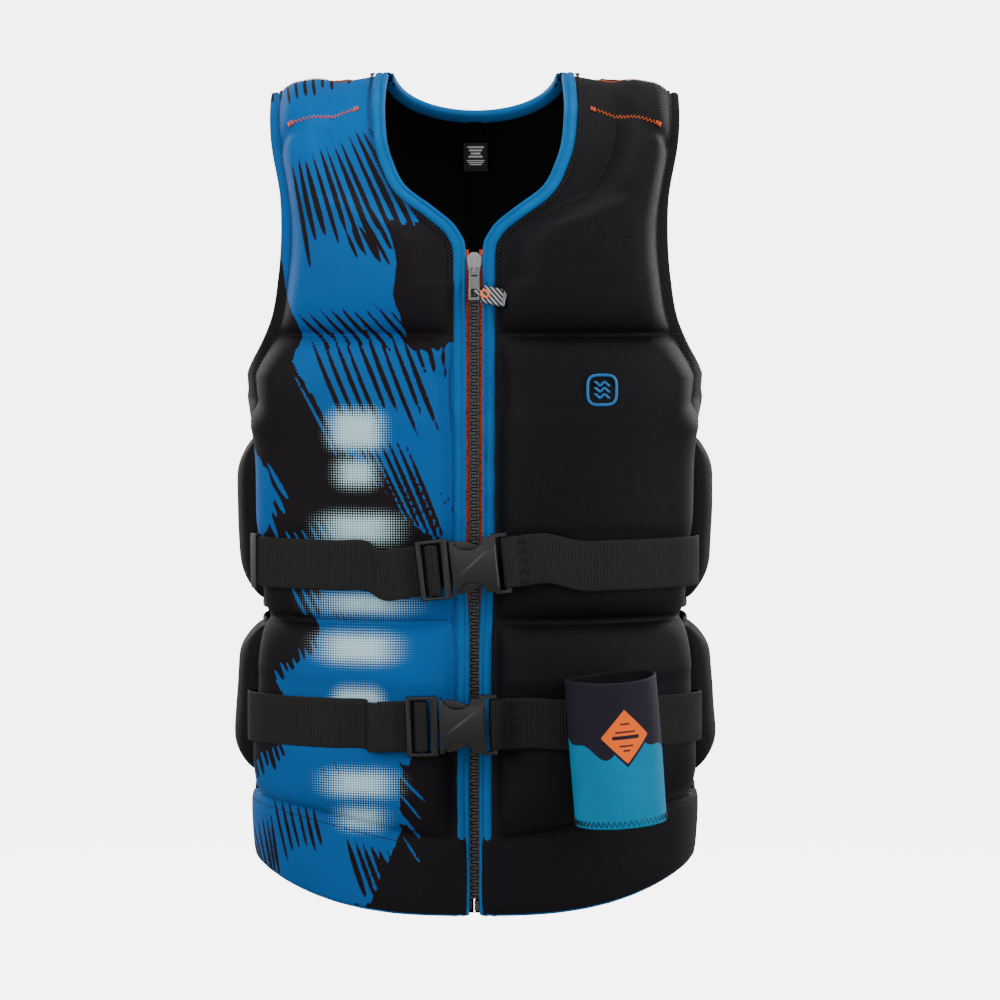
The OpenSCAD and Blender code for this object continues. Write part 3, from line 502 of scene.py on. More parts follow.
# Blue areas of the print, and the bands of strokes that comb their edges: colour, first stroke, last
# stroke, how many, half width
BLUE_AREAS = [
    [(-175, 665), (-58, 665), (-66, 575), (-40, 528), (-66, 532), (-58, 500), (-61, 474), (-50, 443),
     (-128, 440), (-142, 470), (-150, 520), (-170, 560)],
    [(-128, 448), (-56, 448), (-44, 434), (-8, 440), (-8, 288), (-28, 288), (-62, 318), (-100, 362),
     (-138, 424)],
    [(-190, 372), (-173, 368), (-166, 352), (-158, 340), (-152, 322), (-156, 300), (-163, 288), (-190, 290)],
    [(-116, 254), (-5, 254), (-5, 132), (-46, 128), (-57, 112), (-56, 84), (-52, 76), (-58, 62), (-66, 40),
     (-82, 8), (-200, 8), (-200, 128), (-176, 116), (-150, 131), (-146, 170), (-152, 182), (-138, 190),
     (-119, 206)]]
STROKE_BANDS = [
    (0, ((-160, 640), (-156, 622)), ((-92, 650), (-91, 640)), 11, 1.9),
    (0, ((-139, 574), (-128, 517)), ((-76, 606), (-33, 531)), 13, 3.0),
    (0, ((-97, 522), (-90, 507)), ((-78, 538), (-62, 508)), 5, 2.4),
    (0, ((-135, 463), (-112, 438)), ((-68, 469), (-44, 441)), 9, 1.9),
    (0, ((-126, 448), (-99, 384)), ((-56, 448), (-35, 393)), 9, 2.7),
    (1, ((-140, 420), (-112, 368)), ((-134, 432), (-108, 374)), 2, 1.6),
    (0, ((-47, 446), (-38, 420)), ((-14, 446), (-14, 414)), 4, 2.6),
    (0, ((-96, 376), (-62, 312)), ((-54, 368), (-24, 292)), 7, 2.3),
    (0, ((-29, 335), (-20, 312)), ((-22, 330), (-15, 308)), 2, 0.9),
    (1, ((-158, 345), (-146, 326)), ((-162, 318), (-153, 296)), 4, 2.8),
    (1, ((-144, 294), (-134, 276)), ((-114, 306), (-100, 280)), 6, 2.0),
    (1, ((-140, 254), (-128, 229)), ((-120, 254), (-104, 228)), 4, 2.2),
    (0, ((-116, 248), (-104, 229)), ((-100, 248), (-88, 229)), 4, 1.2),
    (1, ((-153, 190), (-142, 166)), ((-120, 216), (-106, 176)), 8, 3.0),
    (0, ((-178, 138), (-172, 108)), ((-150, 135), (-145, 122)), 7, 2.4),
    (0, ((-108, 126), (-102, 110)), ((-116, 118), (-112, 108)), 2, 1.1),
    (0, ((-58, 122), (-43, 104)), ((-58, 74), (-42, 58)), 5, 3.2),
    (1, ((-60, 116), (-42, 96)), ((-57, 66), (-44, 46)), 4, 1.7),
    (0, ((-156, 90), (-146, 48)), ((-124, 84), (-119, 62)), 6, 1.9),
    (0, ((-176, 58), (-168, 34)), ((-158, 78), (-151, 28)), 6, 1.6),
    (0, ((-98, 62), (-86, 24)), ((-62, 52), (-42, 10)), 7, 3.0)]
# Pale spots: centre, half width and half height, all with round corners
PALE_SPOTS = [((-89, 372), 17, 13), ((-89, 340), 11, 8), ((-87, 298), 21, 9), ((-84, 240), 22, 6),
              ((-88, 207), 22, 9), ((-88, 158), 17, 17), ((-87, 104), 19, 8), ((-86, 76), 12, 7)]


def print_fields(x, z):
    rng = np.random.default_rng(11)
    ink = np.full(x.shape, -40.0)
    grain = x * 0.42 + z * 0.08
    comb = 5.0 * np.abs((grain / 2.9) % 1 - 0.5) * (1 + np.sin(grain * 0.37))
    comb = comb + 2.2 * np.sin(grain * 1.9) * np.sin(z / 5)
    for area in BLUE_AREAS:
        ink = np.maximum(ink, inside_outline(x, z + comb, area))
    for colour, first, last, count, half in STROKE_BANDS:
        for k in range(count):
            t = k / max(1, count - 1)
            (sx, sz), (ex, ez) = [(a[0] + (b[0] - a[0]) * t, a[1] + (b[1] - a[1]) * t)
                                  for a, b in zip(first, last)]
            stretch = rng.uniform(1.0, 1.45)
            ex, ez = sx + (ex - sx) * stretch, sz + (ez - sz) * stretch
            stroke = inside_stroke(x, z, (sx, sz + rng.uniform(-2, 2)), (ex, ez),
                                   half * rng.uniform(0.6, 0.9), rng.uniform(-0.03, 0.06))
            ink = np.maximum(ink, stroke) if colour else np.minimum(ink, -stroke)
    glow = np.full(x.shape, -40.0)
    for (cx, cz), half_x, half_z in PALE_SPOTS:
        ex = np.maximum(np.abs(x - cx) - half_x * 0.45, 0) / (half_x * 0.55)
        ez = np.maximum(np.abs(z - cz) - half_z * 0.45, 0) / (half_z * 0.55)
        glow = np.maximum(glow, (1 - np.hypot(ex, ez)) * min(half_x, half_z) * 0.8)
    return ink, glow


# ---- Front panels: shell, foam and seams sewn as one padded panel on each side ----
# Two panels, printed on the wearer's right and black on the left, each of four blocks between sewn seams.
SIDES = ((-1, "right"), (1, "left"))


def front_piece(piece):
    """Bakes a sewn piece of the front's placement into its mesh."""
    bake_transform(piece)
    return piece


def outer_surface(s, u, seed, back=False):
    """Point, normal and thickness on a panel's outer face."""
    s, u, phi = panel_grid(s, u, back)
    normal = body_normal(phi, s)
    thick = panel_t(s, u, seed, belts=not back)
    return s, u, phi, normal, thick


panel_rows = spaced(1.0, SHOULDER_ROW, 2.3, 3)
panel_columns = spaced(0, 190, 1.9, 3) / 190
for side, name in SIDES:
    s, u, phi, normal, thick = outer_surface(panel_rows, panel_columns, 20 + side)
    base = body_point(phi, s)
    outer, inner = base + normal * thick[..., None], base + normal * LINING_T
    rim = rim_of(s - 1.0, u * 170, SHOULDER_ROW - 1.0, 170, 2.4)
    panel = slab("front_panel_" + name, outer, inner, rim,
                 printed_neoprene if side < 0 else black_neoprene, side)
    if side < 0:
        ink, glow = print_fields(outer[..., 0], outer[..., 2])
        store(panel, "ink", ink)
        store(panel, "glow", glow)
        store(panel, "print_x", outer[..., 0])
        store(panel, "print_z", outer[..., 2])
    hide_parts(*[f"{part}_{name}" for part in ("front_shell", "chest_foam", "body_foam", "lower_foam")])
    front_piece(panel)

def face_point(s, u, seed, back=False, lift=0.0):
    """Points and normals on a panel's outer face, in mm, for the wearer's right."""
    s, u = np.broadcast_arrays(np.asarray(s, float), np.asarray(u, float))
    start = angle_at(back_inner(s), s) if back else angle_at(front_inner(s) + 2, s)
    phi = start + (side_angle(s) - start) * u
    phi = 180 - phi if back else phi
    normal = body_normal(phi, s)
    return body_point(phi, s) + normal * (panel_t(s, u, seed, not back) + lift)[..., None], normal


def front_at(x, z, seed, lift=0.0):
    """The front panel's outer face at a half width and a height."""
    crown = CROWN - 16 * np.clip((x - NECK_HALF) / (SHOULDER_HALF - NECK_HALF), 0, 1)
    rise = np.clip((z - DOME) / (crown - DOME), 0, 1)
    s = np.where(z <= DOME, z, DOME + ARC * np.degrees(np.arcsin(rise)))
    start = angle_at(front_inner(s) + 2, s)
    u = (angle_at(x, s) - start) / (side_angle(s) - start)
    return face_point(s, np.clip(u, 0, 1), seed, lift=lift)


# ---- Back panels: the same build, in two halves sewn down the spine ----
# Black embossed neoprene over three foam blocks a side. They are the part that stays still.
neck_rows = back_neck_row(np.linspace(0, NECK_HALF * 0.96, 34))
back_rows = np.concatenate([spaced(1.0, neck_rows[0], 3.0, 3)[:-6], neck_rows])
back_columns = spaced(0, 190, 2.4, 3) / 190
for side, name in SIDES:
    outer, normal = face_point(back_rows[:, None], back_columns, 40 + side, back=True)
    s, u, phi = panel_grid(back_rows, back_columns, back=True)
    inner = body_point(phi, s) + normal * LINING_T
    rim = rim_of(s - 1.0, u * 170, SHOULDER_ROW - 1.0, 170, 2.4)
    panel = slab("back_panel_" + name, outer, inner, rim, black_neoprene, side)
    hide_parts("back_shell_" + name)
    if side < 0:
        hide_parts("back_foam_upper", "back_foam_middle", "back_foam_lower")
    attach(panel, "vest_back")

# ---- Lining: black brushed knit against the body ----
# One layer glued inside each panel; its short pile drinks the light, so it is the darkest cloth here.
brushed_lining, tree, where = new_material("brushed_knit_lining")
pile = add(tree, "ShaderNodeTexNoise", {"Vector": where, "Scale": 700.0, "Detail": 3.0})
cloud = add(tree, "ShaderNodeTexNoise", {"Vector": where, "Scale": 16.0, "Detail": 4.0})
tone = add(tree, "ShaderNodeMix", {
    "Factor": cloud.outputs["Fac"], "A": linear("#030304"), "B": linear("#08080a")}, data_type="RGBA")
nap = add(tree, "ShaderNodeBump", {"Height": pile.outputs["Fac"], "Strength": 0.5, "Distance": 0.0004})
finish_material(tree, add(tree, "ShaderNodeBsdfPrincipled", {
    "Base Color": tone.outputs[2], "Roughness": 0.92, "Specular IOR Level": 0.1,
    "Normal": nap.outputs[0]}))


for side, name in SIDES:
    for back in (False, True):
        rows = back_rows[::2] if back else spaced(1.0, SHOULDER_ROW, 7, 4)
        s, u, phi = panel_grid(rows, spaced(0, 190, 6, 4) / 190, back)
        normal = body_normal(phi, s)
        folds = 0.35 * ripple(-half_w(s) * np.sin(np.radians(phi)), s, 60 + side, 50)
        inner = body_point(phi, s) + normal * (0.4 + folds)[..., None]
        outer = inner + normal * (LINING_T - 0.5)
        rim = rim_of(s - 1.0, u * 170, SHOULDER_ROW - 1.0, 170, 1.0)
        part = ("back" if back else "front") + "_lining_" + name
        lining = slab("brushed_" + part, outer, inner, rim, brushed_lining, side)
        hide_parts(part)
        if back:
            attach(lining, "vest_back")
        else:
            front_piece(lining)

# ---- Sewing: thread drawn as real strands ----
# Bonded polyester thread, 0.6 mm here so that it shows; it is smooth and takes a small highlight.


def thread_material(name, code, rough):
    material, tree, where = new_material(name)
    twist = add(tree, "ShaderNodeTexNoise", {"Vector": where, "Scale": 1500.0})
    shade = linear(code)
    tone = add(tree, "ShaderNodeMix", {
        "Factor": twist.outputs["Fac"], "A": [c * 0.72 for c in shade[:3]] + [1], "B": shade}, data_type="RGBA")
    twist = add(tree, "ShaderNodeBump", {"Height": twist.outputs["Fac"], "Strength": 0.3, "Distance": 0.0002})
    finish_material(tree, add(tree, "ShaderNodeBsdfPrincipled", {
        "Base Color": tone.outputs[2], "Roughness": rough, "Normal": twist.outputs[0]}))
    return material


black_thread = thread_material("black_polyester_thread", "#0c0c0e", 0.5)
orange_thread = thread_material("orange_polyester_thread", "#ff6a1a", 0.5)


def run_of(points):
    """Distance in mm along a line of points."""
    return np.concatenate([[0], np.cumsum(np.linalg.norm(np.diff(points, axis=0), axis=1))])


def at_run(points, run):
    here = run_of(points)
    return np.stack([np.interp(run, here, points[:, k]) for k in range(3)], -1)


def strands(name, lines, normals, radius, material, side):
    """Thin closed tubes along several lines, joined in one piece."""
    points, faces = [], []
    for line, normal in zip(lines, normals):
        along = unit(np.gradient(line, axis=0))
        across = unit(np.cross(along, normal))
        up = np.cross(across, along)
        turn = np.arange(6) * math.pi / 3
        ring = across[:, None] * np.cos(turn)[:, None] + up[:, None] * np.sin(turn)[:, None]
        first = len(points)
        points.extend((line[:, None] + ring * radius).reshape(-1, 3))
        for i in range(len(line) - 1):
            for k in range(6):
                a, b = first + i * 6 + k, first + i * 6 + (k + 1) % 6
                faces.append((a, b, b + 6, a + 6))
        faces.append([first + k for k in range(5, -1, -1)])
        faces.append([first + (len(line) - 1) * 6 + k for k in range(6)])
    points = np.array(points) * MM
    if side > 0:
        points = points * [-1, 1, 1]
    return facing_out(mesh_object(name, points, faces, material))


def lockstitch(path, normal, long=2.4, pitch=3.3, sink=0.25):
    """Separate stitches along a path: each rises from the cloth, runs and dips back in."""
    total = run_of(path)[-1]
    lines, ups = [], []
    for k in range(int(total / pitch)):
        run = np.linspace(k * pitch, k * pitch + long, 4)
        up = unit(np.stack([np.interp(run, run_of(path), normal[:, j]) for j in range(3)], -1))
        height = np.array([-sink, 0.25, 0.25, -sink])[:, None]
        lines.append(at_run(path, run) + up * height)
        ups.append(up)
    return lines, ups


def zigzag(path, normal, pitch, reach):
    """One strand that crosses a seam from side to side."""
    run = np.arange(0, run_of(path)[-1], pitch / 2)
    line = at_run(path, run)
    up = unit(np.stack([np.interp(run, run_of(path), normal[:, j]) for j in range(3)], -1))
    across = unit(np.cross(np.gradient(line, axis=0), up))
    swing = np.where(np.arange(len(run)) % 2 == 0, 1, -1)[:, None] * reach
    return [line + across * swing], [up]


for side, name in SIDES:
    seed = 20 + side
    u = np.linspace(0.045, 0.985, 120)
    lines, ups = [], []
    for row in (CHEST, WAIST + 1.5, HEM_SEAM, HEM_SEAM - 7.5):
        path, normal = face_point(row, u, seed, lift=0.1)
        more = lockstitch(path, normal)
        lines, ups = lines + more[0], ups + more[1]
    seam = strands("front_seam_stitches_" + name, lines, ups, 0.3, black_thread, side)
    front_piece(seam)
    u = np.linspace(0.02, 0.985, 120)
    lines, ups = [], []
    for row in (CHEST, WAIST, HEM_SEAM, HEM_SEAM - 7.5):
        path, normal = face_point(row, u, 40 + side, back=True, lift=0.1)
        more = lockstitch(path, normal)
        lines, ups = lines + more[0], ups + more[1]
    seam = strands("back_seam_stitches_" + name, lines, ups, 0.3, black_thread, side)
    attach(seam, "vest_back")
    # Armhole: a dense zigzag on the seam between the flat strip and the foam
    rows = np.linspace(row_at(ARMPIT + 8), SHOULDER_ROW - 3, 140)
    for back in (False, True):
        reach = half_w(rows) * np.sin(np.radians(side_angle(rows))) ** POWER
        start = angle_at(back_inner(rows) if back else (front_inner(rows) + 2), rows)
        u = (angle_at(reach - ARM_STRIP / 1.05, rows) - start) / (side_angle(rows) - start)
        path, normal = face_point(rows, u, (40 if back else 20) + side, back, lift=0.35)
        lines, ups = zigzag(path, normal, 3.4, 1.3)
        part = ("back" if back else "front") + "_armhole_stitches_" + name
        seam = strands(part, lines, ups, 0.32, black_thread, side)
        if back:
            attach(seam, "vest_back")
        else:
            front_piece(seam)
    # Shoulder tacks: orange zigzag with a bar tack at each end
    t = np.linspace(0, 1, 60)
    (ax, az), (bx, bz) = SHOULDER_TACK
    path, normal = front_at(ax + (bx - ax) * t, az + (bz - az) * t, seed, lift=0.45)
    lines, ups = zigzag(path, normal, 3.0, 1.5)
    for end in (slice(0, 5), slice(-5, None)):
        for pitch in (0.9, 1.0):
            more = zigzag(path[end], normal[end], pitch, 2.1)
            lines, ups = lines + more[0], ups + more[1]
    tack = strands("shoulder_tack_" + name, lines, ups, 0.36, orange_thread, side)
    front_piece(tack)
    top_rows = np.full(60, SHOULDER_ROW - 9.0)
    reach = np.linspace(94, 148, 60)
    start = angle_at(front_inner(top_rows) + 2, top_rows)
    path, normal = face_point(top_rows, (angle_at(reach, top_rows) - start) / (side_angle(top_rows) - start),
                              seed, lift=0.45)
    lines, ups = zigzag(path, normal, 3.0, 1.5)
    front_piece(strands("shoulder_top_tack_" + name, lines, ups, 0.36, orange_thread, side))

# ---- Bindings: blue folded tape round the front edges, neck and hem ----
# A strip of thin neoprene folded over the raw edge and sewn through, which leaves a groove near its outer fold.
binding_cloth, tree, where = new_material("folded_neoprene_binding")
shade = add(tree, "ShaderNodeTexNoise", {"Vector": where, "Scale": 45.0, "Detail": 3.0})
tone = add(tree, "ShaderNodeMix", {
    "Factor": shade.outputs["Fac"], "A": linear("#00508c"), "B": linear("#0066a6")}, data_type="RGBA")
finish_material(tree, add(tree, "ShaderNodeBsdfPrincipled", {
    "Base Color": tone.outputs[2], "Roughness": 0.6, "Specular IOR Level": 0.15,
    "Normal": knit(tree, where, 0.8, 0.3).outputs[0]}))
BINDING_SECTION = np.array([
    (1.2, 0.1), (9.4, 0.1), (10.3, 1.6), (10.5, 4.4), (9.7, 6.3), (7.8, 7.1), (5.8, 7.0), (4.3, 6.3), (3.5, 5.2),
    (2.8, 6.1), (1.7, 6.7), (0.5, 5.9), (-0.1, 3.8), (0.2, 1.4)])


def sweep(name, path, across, up, section, material, side):
    """A closed tube with a shaped section along a path."""
    section = np.broadcast_to(section, (len(path),) + np.shape(section)[-2:])
    points = path[:, None] + across[:, None] * section[..., :1] + up[:, None] * section[..., 1:]
    rings, count = points.shape[:2]
    faces = [(i * count + k, i * count + (k + 1) % count, (i + 1) * count + (k + 1) % count, (i + 1) * count + k)
             for i in range(rings - 1) for k in range(count)]
    faces.append(list(range(count - 1, -1, -1)))
    faces.append([(rings - 1) * count + k for k in range(count)])
    points = points.reshape(-1, 3) * MM
    if side > 0:
        points = points * [-1, 1, 1]
    return facing_out(mesh_object(name, points, faces, material))


def refined(piece, levels=1):
    """Applies a subdivision surface, so that a piece is smooth from close by."""
    modifier = piece.modifiers.new("smooth", "SUBSURF")
    modifier.levels = modifier.render_levels = levels
    graph = bpy.context.evaluated_depsgraph_get()
    smooth = bpy.data.meshes.new_from_object(piece.evaluated_get(graph))
    piece.modifiers.clear()
    piece.data = smooth
    return piece


def tape_on_body(name, phi, s, section, side, outward):
    """Binding tape laid on the body's surface along section angles and rows; outward points off the opening."""
    path, up = body_point(phi, s), body_normal(phi, s)
    along = unit(np.gradient(path, axis=0))
    across = unit(np.cross(up, along)) * outward
    return refined(sweep(name, path, across, up, section, binding_cloth, side))


def wavy(section, run, seed, amount):
    """The tape's section at each station, pulled in and out a little by its stitches."""
    wobble = amount * ripple(run, run * 0.3, seed, 26)[:, None, None]
    return section + wobble * np.array([0.5, 1.0]) * (section[:, 1:] > 3)


for side, name in SIDES:
    rows = [np.linspace(0, NECK_LOW - 14, 130), np.linspace(NECK_LOW - 11, SHOULDER_ROW + 0.5, 90)]
    rows = np.concatenate(rows)
    phi = angle_at(front_inner(rows), rows)
    section = wavy(BINDING_SECTION, rows, 70 + side, 0.5)
    # Below the neck the tape's fold stands clear of the zip's slider
    lifted = np.where((section[..., 0] < 2) & (section[..., 1] < 4.4), 4.4, section[..., 1])
    low = (1 - step(NECK_LOW - 6, NECK_LOW + 14, rows))[:, None]
    section[..., 1] = section[..., 1] + (lifted - section[..., 1]) * low
    tape = tape_on_body("front_edge_binding_" + name, phi, rows, section, side, 1)
    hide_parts("edge_binding_" + name)
    front_piece(tape)
    path, up = body_point(phi, rows), body_normal(phi, rows)
    across = unit(np.cross(up, unit(np.gradient(path, axis=0))))
    lines, ups = zigzag(path + across * 12.2 + up * (SEAM_T + 0.5), up, 3.2, 1.5)
    seam = strands("edge_cover_stitches_" + name, lines, ups, 0.3, black_thread, side)
    front_piece(seam)
    # Hem tape, narrower, on the bottom edge
    hem_section = BINDING_SECTION * [0.72, 1.0]
    u = np.linspace(0.0, 1, 90)
    start = angle_at(EDGE_LOW + 6, 0.0)
    phi = start + (WRAP_SIDE + 5 - start) * u
    section = wavy(hem_section, u * 200, 74, 0.4)
    tape = tape_on_body("front_hem_binding_" + name, phi, np.zeros(90), section, side, -1)
    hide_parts("hem_binding_" + name)
    front_piece(tape)
    phi = WRAP_SIDE + 6 + (180 - WRAP_SIDE - 6) * u
    section = wavy(hem_section, u * 200, 75, 0.4)
    tape = tape_on_body("back_hem_tape_" + name, phi, np.zeros(90), section, side, -1)
    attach(tape, "vest_back")
    if side < 0:
        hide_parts("back_hem_binding")
turn = np.linspace(-1, 1, 121)
reach = NECK_HALF * 0.948 * np.sin(turn * math.pi / 2)
rows = back_neck_row(np.abs(reach))
angles = 180 - angle_at(np.abs(reach) + 0.01, rows)
path, up = body_point(angles, rows), body_normal(angles, rows)
path[:, 0], up[:, 0] = np.sign(reach) * np.abs(path[:, 0]), np.sign(reach) * np.abs(up[:, 0])
across = unit(np.cross(up, unit(np.gradient(path, axis=0))))
across = across * np.where(across[60, 2] > 0, -1, 1)
neck_section = BINDING_SECTION + [-2.0, 0.0]
neck_section[:2, 1] = -1.0
neck = refined(sweep("back_neck_tape", path, across, up, neck_section, binding_cloth, -1))
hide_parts("back_neck_binding")
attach(neck, "vest_back")

# A flat tape over the spine seam, inside and out
for lift, part in ((-0.5, "inner"), (4.6, "outer")):
    rows = np.linspace(2, row_at(TOP - BACK_DIP - 2), 120)
    path, up = body_point(np.full(120, 179.95), rows), body_normal(np.full(120, 179.0), rows)
    path[:, 0], up[:, 0] = 0, 0
    flat_tape = np.array([(-5, 0), (5, 0), (5.4, 0.7), (5, 1.4), (-5, 1.4), (-5.4, 0.7)]) + [0, lift]
    across = np.tile([1.0, 0, 0], (120, 1))
    tape = sweep(part + "_spine_tape", path, across, unit(up), flat_tape, brushed_lining, -1)
    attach(tape, "vest_back")

# ---- Side wings: foam pods in plain neoprene, sewn to the back's edge over a stretch panel ----
# Their front edge tucks behind the belts' slits. They stay with the back when a front panel opens.


def pod_grid(bottom, top, first, last, count, seed, thick):
    """Outer and inner faces of a padded pod round the side."""
    rows = spaced(bottom, top, 2.5, 4)
    cols = spaced(0, count, 2.5, 4) / count
    s, u = np.meshgrid(rows, cols, indexing="ij")
    corner = 20 * (1 - swell((s - bottom) / (top - bottom), 7))
    squeeze = corner / count
    phi = first + (last - first) * (u * (1 - 2 * squeeze) + squeeze)
    body, up = body_point(phi, s), body_normal(phi, s)
    along = (s - bottom) / (top - bottom)
    flange = np.minimum(np.minimum(s - bottom, top - s), np.minimum(u, 1 - u) * count)
    tip = np.minimum(s - bottom, top - s)
    rise = np.sqrt(np.clip(1 - (1 - np.clip((flange - 7) / 30, 0, 1)) ** 2, 0, 1)) ** 0.9
    rise = rise * np.sqrt(np.clip(1 - (1 - np.clip((tip - 3) / 42, 0, 1)) ** 2, 0, 1))
    height = 5.5 + (thick - 5.5) * rise + 0.5 * ripple(u * count, s, seed, 45) * rise
    height = height - 1.0 * np.exp(-((flange - 7) / 1.6) ** 2)
    rim = rim_of(s - bottom, u * count, top - bottom, count, 2.4)
    return body + up * height[..., None], body + up * (LINING_T + 0.6), rim, up, s, u


WING_LOW, WING_HIGH, WING_GAP, WING_LONG = HEM_SEAM + 12, ARMPIT - 28, 4, 96
for side, name in SIDES:
    for part, bottom, top in (("lower", WING_LOW, WAIST - WING_GAP), ("upper", WAIST + WING_GAP, WING_HIGH)):
        outer, inner, rim, up, s, u = pod_grid(
            bottom, top, WING_SIDE, 180 - WING_SIDE, WING_LONG, 80 + side, WING_T)
        wing = slab("padded_wing_" + part + "_" + name, outer, inner, rim, plain_neoprene, side)
        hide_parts(f"side_wing_{part}_{name}")
        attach(wing, "vest_back")
        # One row of stitches round the pod, 7 mm inside its edge
        rows, cols = outer.shape[:2]
        i0 = int(np.argmin(np.abs(s[:, 0] - bottom - 7)))
        i1 = int(np.argmin(np.abs(s[:, 0] - top + 7)))
        j0 = int(np.argmin(np.abs(u[0] - 7 / WING_LONG)))
        j1 = cols - 1 - j0
        loop = [(i0, j) for j in range(j0, j1)] + [(i, j1) for i in range(i0, i1)]
        loop += [(i1, j) for j in range(j1, j0, -1)] + [(i, j0) for i in range(i1, i0 - 1, -1)]
        path = np.array([outer[i, j] + up[i, j] * 0.15 for i, j in loop])
        lines, ups = lockstitch(path, np.array([up[i, j] for i, j in loop]))
        seam = strands(f"wing_stitches_{part}_{name}", lines, ups, 0.3, black_thread, side)
        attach(seam, "vest_back")
    # Stretch panel behind the pods, from hem band to armhole
    low_row, high_row, reach = HEM_SEAM - 6, ARMPIT - 6, 61
    rows, cols = np.linspace(low_row, high_row, 100), np.linspace(reach, 180 - reach, 60)
    s, phi = np.meshgrid(rows, cols, indexing="ij")
    body, up = body_point(phi, s), body_normal(phi, s)
    outer, inner = body - up * 0.1, body - up * 1.3
    rim = rim_of(s - low_row, (phi - reach) * 2, high_row - low_row, (180 - 2 * reach) * 2, 1.0)
    stretch = slab("stretch_side_" + name, outer, inner, rim, brushed_lining, side)
    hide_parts("side_panel_" + name)
    start, end = [body_point(np.array([a]), np.array([200.0]))[0] * MM for a in (74.0, 68.0)]
    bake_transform(stretch)
    # Gussets that join the front and back panels at the hem band and under the arm
    for part, bottom, top, reach in (("hem", 1.0, HEM_SEAM + 6, 79), ("underarm", ARMPIT - 26, ARMPIT - 2, 73)):
        rows, cols = spaced(bottom, top, 2, 3), np.linspace(reach, 180 - reach, 34)
        s, phi = np.meshgrid(rows, cols, indexing="ij")
        if part == "underarm":
            s = bottom + (s - bottom) * (1 + 0.8 * np.abs((phi - 90) / (90 - reach)) ** 2.4)
        body, up = body_point(phi, s), body_normal(phi, s)
        rise = np.broadcast_to(rows[:, None], s.shape)
        outer = body + up * (4.6 + 1.2 * swell((rise - bottom) / (top - bottom), 3))[..., None]
        rim = rim_of(rise - bottom, np.full(s.shape, 9.0), top - bottom, 99, 2.2)
        gusset = slab(part + "_gusset_" + name, outer, body + up * 1.2, rim, plain_neoprene, side)
        low, high = [Vector(c) for c in (gusset.bound_box[0], gusset.bound_box[6])]
        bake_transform(gusset)

# ---- Zip: orange woven tapes, moulded teeth, and a metal slider with a link and a cloth tab ----
# The tapes are sewn behind the bindings. Black flecks are woven through the orange.
flecked_tape, tree, where = new_material("flecked_woven_zip_tape")
fleck = add(tree, "ShaderNodeTexVoronoi", {"Vector": where, "Scale": 620.0})
dark = add(tree, "ShaderNodeMapRange", {"Value": fleck.outputs["Distance"], "From Min": 0.28, "From Max": 0.42})
tone = add(tree, "ShaderNodeMix", {
    "Factor": dark.outputs[0], "A": linear("#1d1210"), "B": linear("#ff4a10")}, data_type="RGBA")
weave = add(tree, "ShaderNodeTexWave", {"Vector": where, "Scale": 320.0}, bands_direction="Z")
weave = add(tree, "ShaderNodeBump", {"Height": weave.outputs["Fac"], "Strength": 0.4, "Distance": 0.0003})
finish_material(tree, add(tree, "ShaderNodeBsdfPrincipled", {
    "Base Color": tone.outputs[2], "Roughness": 0.7, "Normal": weave.outputs[0]}))


def moulded_material(name, scale, detail, shades, rough, relief):
    """Rubber or plastic with two close shades and a slight relief, both from one fine noise."""
    material, tree, where = new_material(name)
    grain = add(tree, "ShaderNodeTexNoise", {"Vector": where, "Scale": scale, "Detail": detail})
    tone = add(tree, "ShaderNodeMix", {
        "Factor": grain.outputs["Fac"], "A": linear(shades[0]), "B": linear(shades[1])}, data_type="RGBA")
    bumps = add(tree, "ShaderNodeBump", {"Height": grain.outputs["Fac"], "Strength": relief, "Distance": 0.0003})
    finish_material(tree, add(tree, "ShaderNodeBsdfPrincipled", {
        "Base Color": tone.outputs[2], "Roughness": rough, "Normal": bumps.outputs[0]}))
    return material


acetal_teeth = moulded_material("moulded_acetal_teeth", 160.0, 4.0, ("#141315", "#4c4b4d"), 0.34, 0.1)

nickel, tree, where = new_material("tumbled_nickel_plate")
scuff = add(tree, "ShaderNodeTexNoise", {"Vector": where, "Scale": 420.0, "Detail": 6.0})
gloss = add(tree, "ShaderNodeMapRange", {"Value": scuff.outputs["Fac"], "To Min": 0.22, "To Max": 0.45})
pits = add(tree, "ShaderNodeBump", {"Height": scuff.outputs["Fac"], "Strength": 0.15, "Distance": 0.0002})
finish_material(tree, add(tree, "ShaderNodeBsdfPrincipled", {
    "Base Color": linear("#8f9093"), "Metallic": 1.0, "Roughness": gloss.outputs[0], "Normal": pits.outputs[0]}))


def moulded(node, name, material, width, levels=3):
    """A piece cast from a CAD node's shape with its edges rounded over, as a mould leaves them."""
    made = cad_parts[node].data.copy()
    mesh = bmesh.new()
    mesh.from_mesh(made)
    bmesh.ops.remove_doubles(mesh, verts=mesh.verts, dist=1e-6)
    bmesh.ops.dissolve_limit(mesh, angle_limit=math.radians(2), verts=mesh.verts, edges=mesh.edges)
    sharp = [e for e in mesh.edges if len(e.link_faces) == 2 and e.calc_face_angle() > math.radians(28)]
    bmesh.ops.bevel(mesh, geom=sharp, offset=width * MM, segments=levels, profile=0.6, affect="EDGES",
                    clamp_overlap=True)
    mesh.to_mesh(made)
    mesh.free()
    made.materials.clear()
    made.materials.append(material)
    made.polygons.foreach_set("use_smooth", [True] * len(made.polygons))
    piece = bpy.data.objects.new(name, made)
    bpy.context.scene.collection.objects.link(piece)
    made.set_sharp_from_angle(angle=math.radians(40))
    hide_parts(node)
    return piece


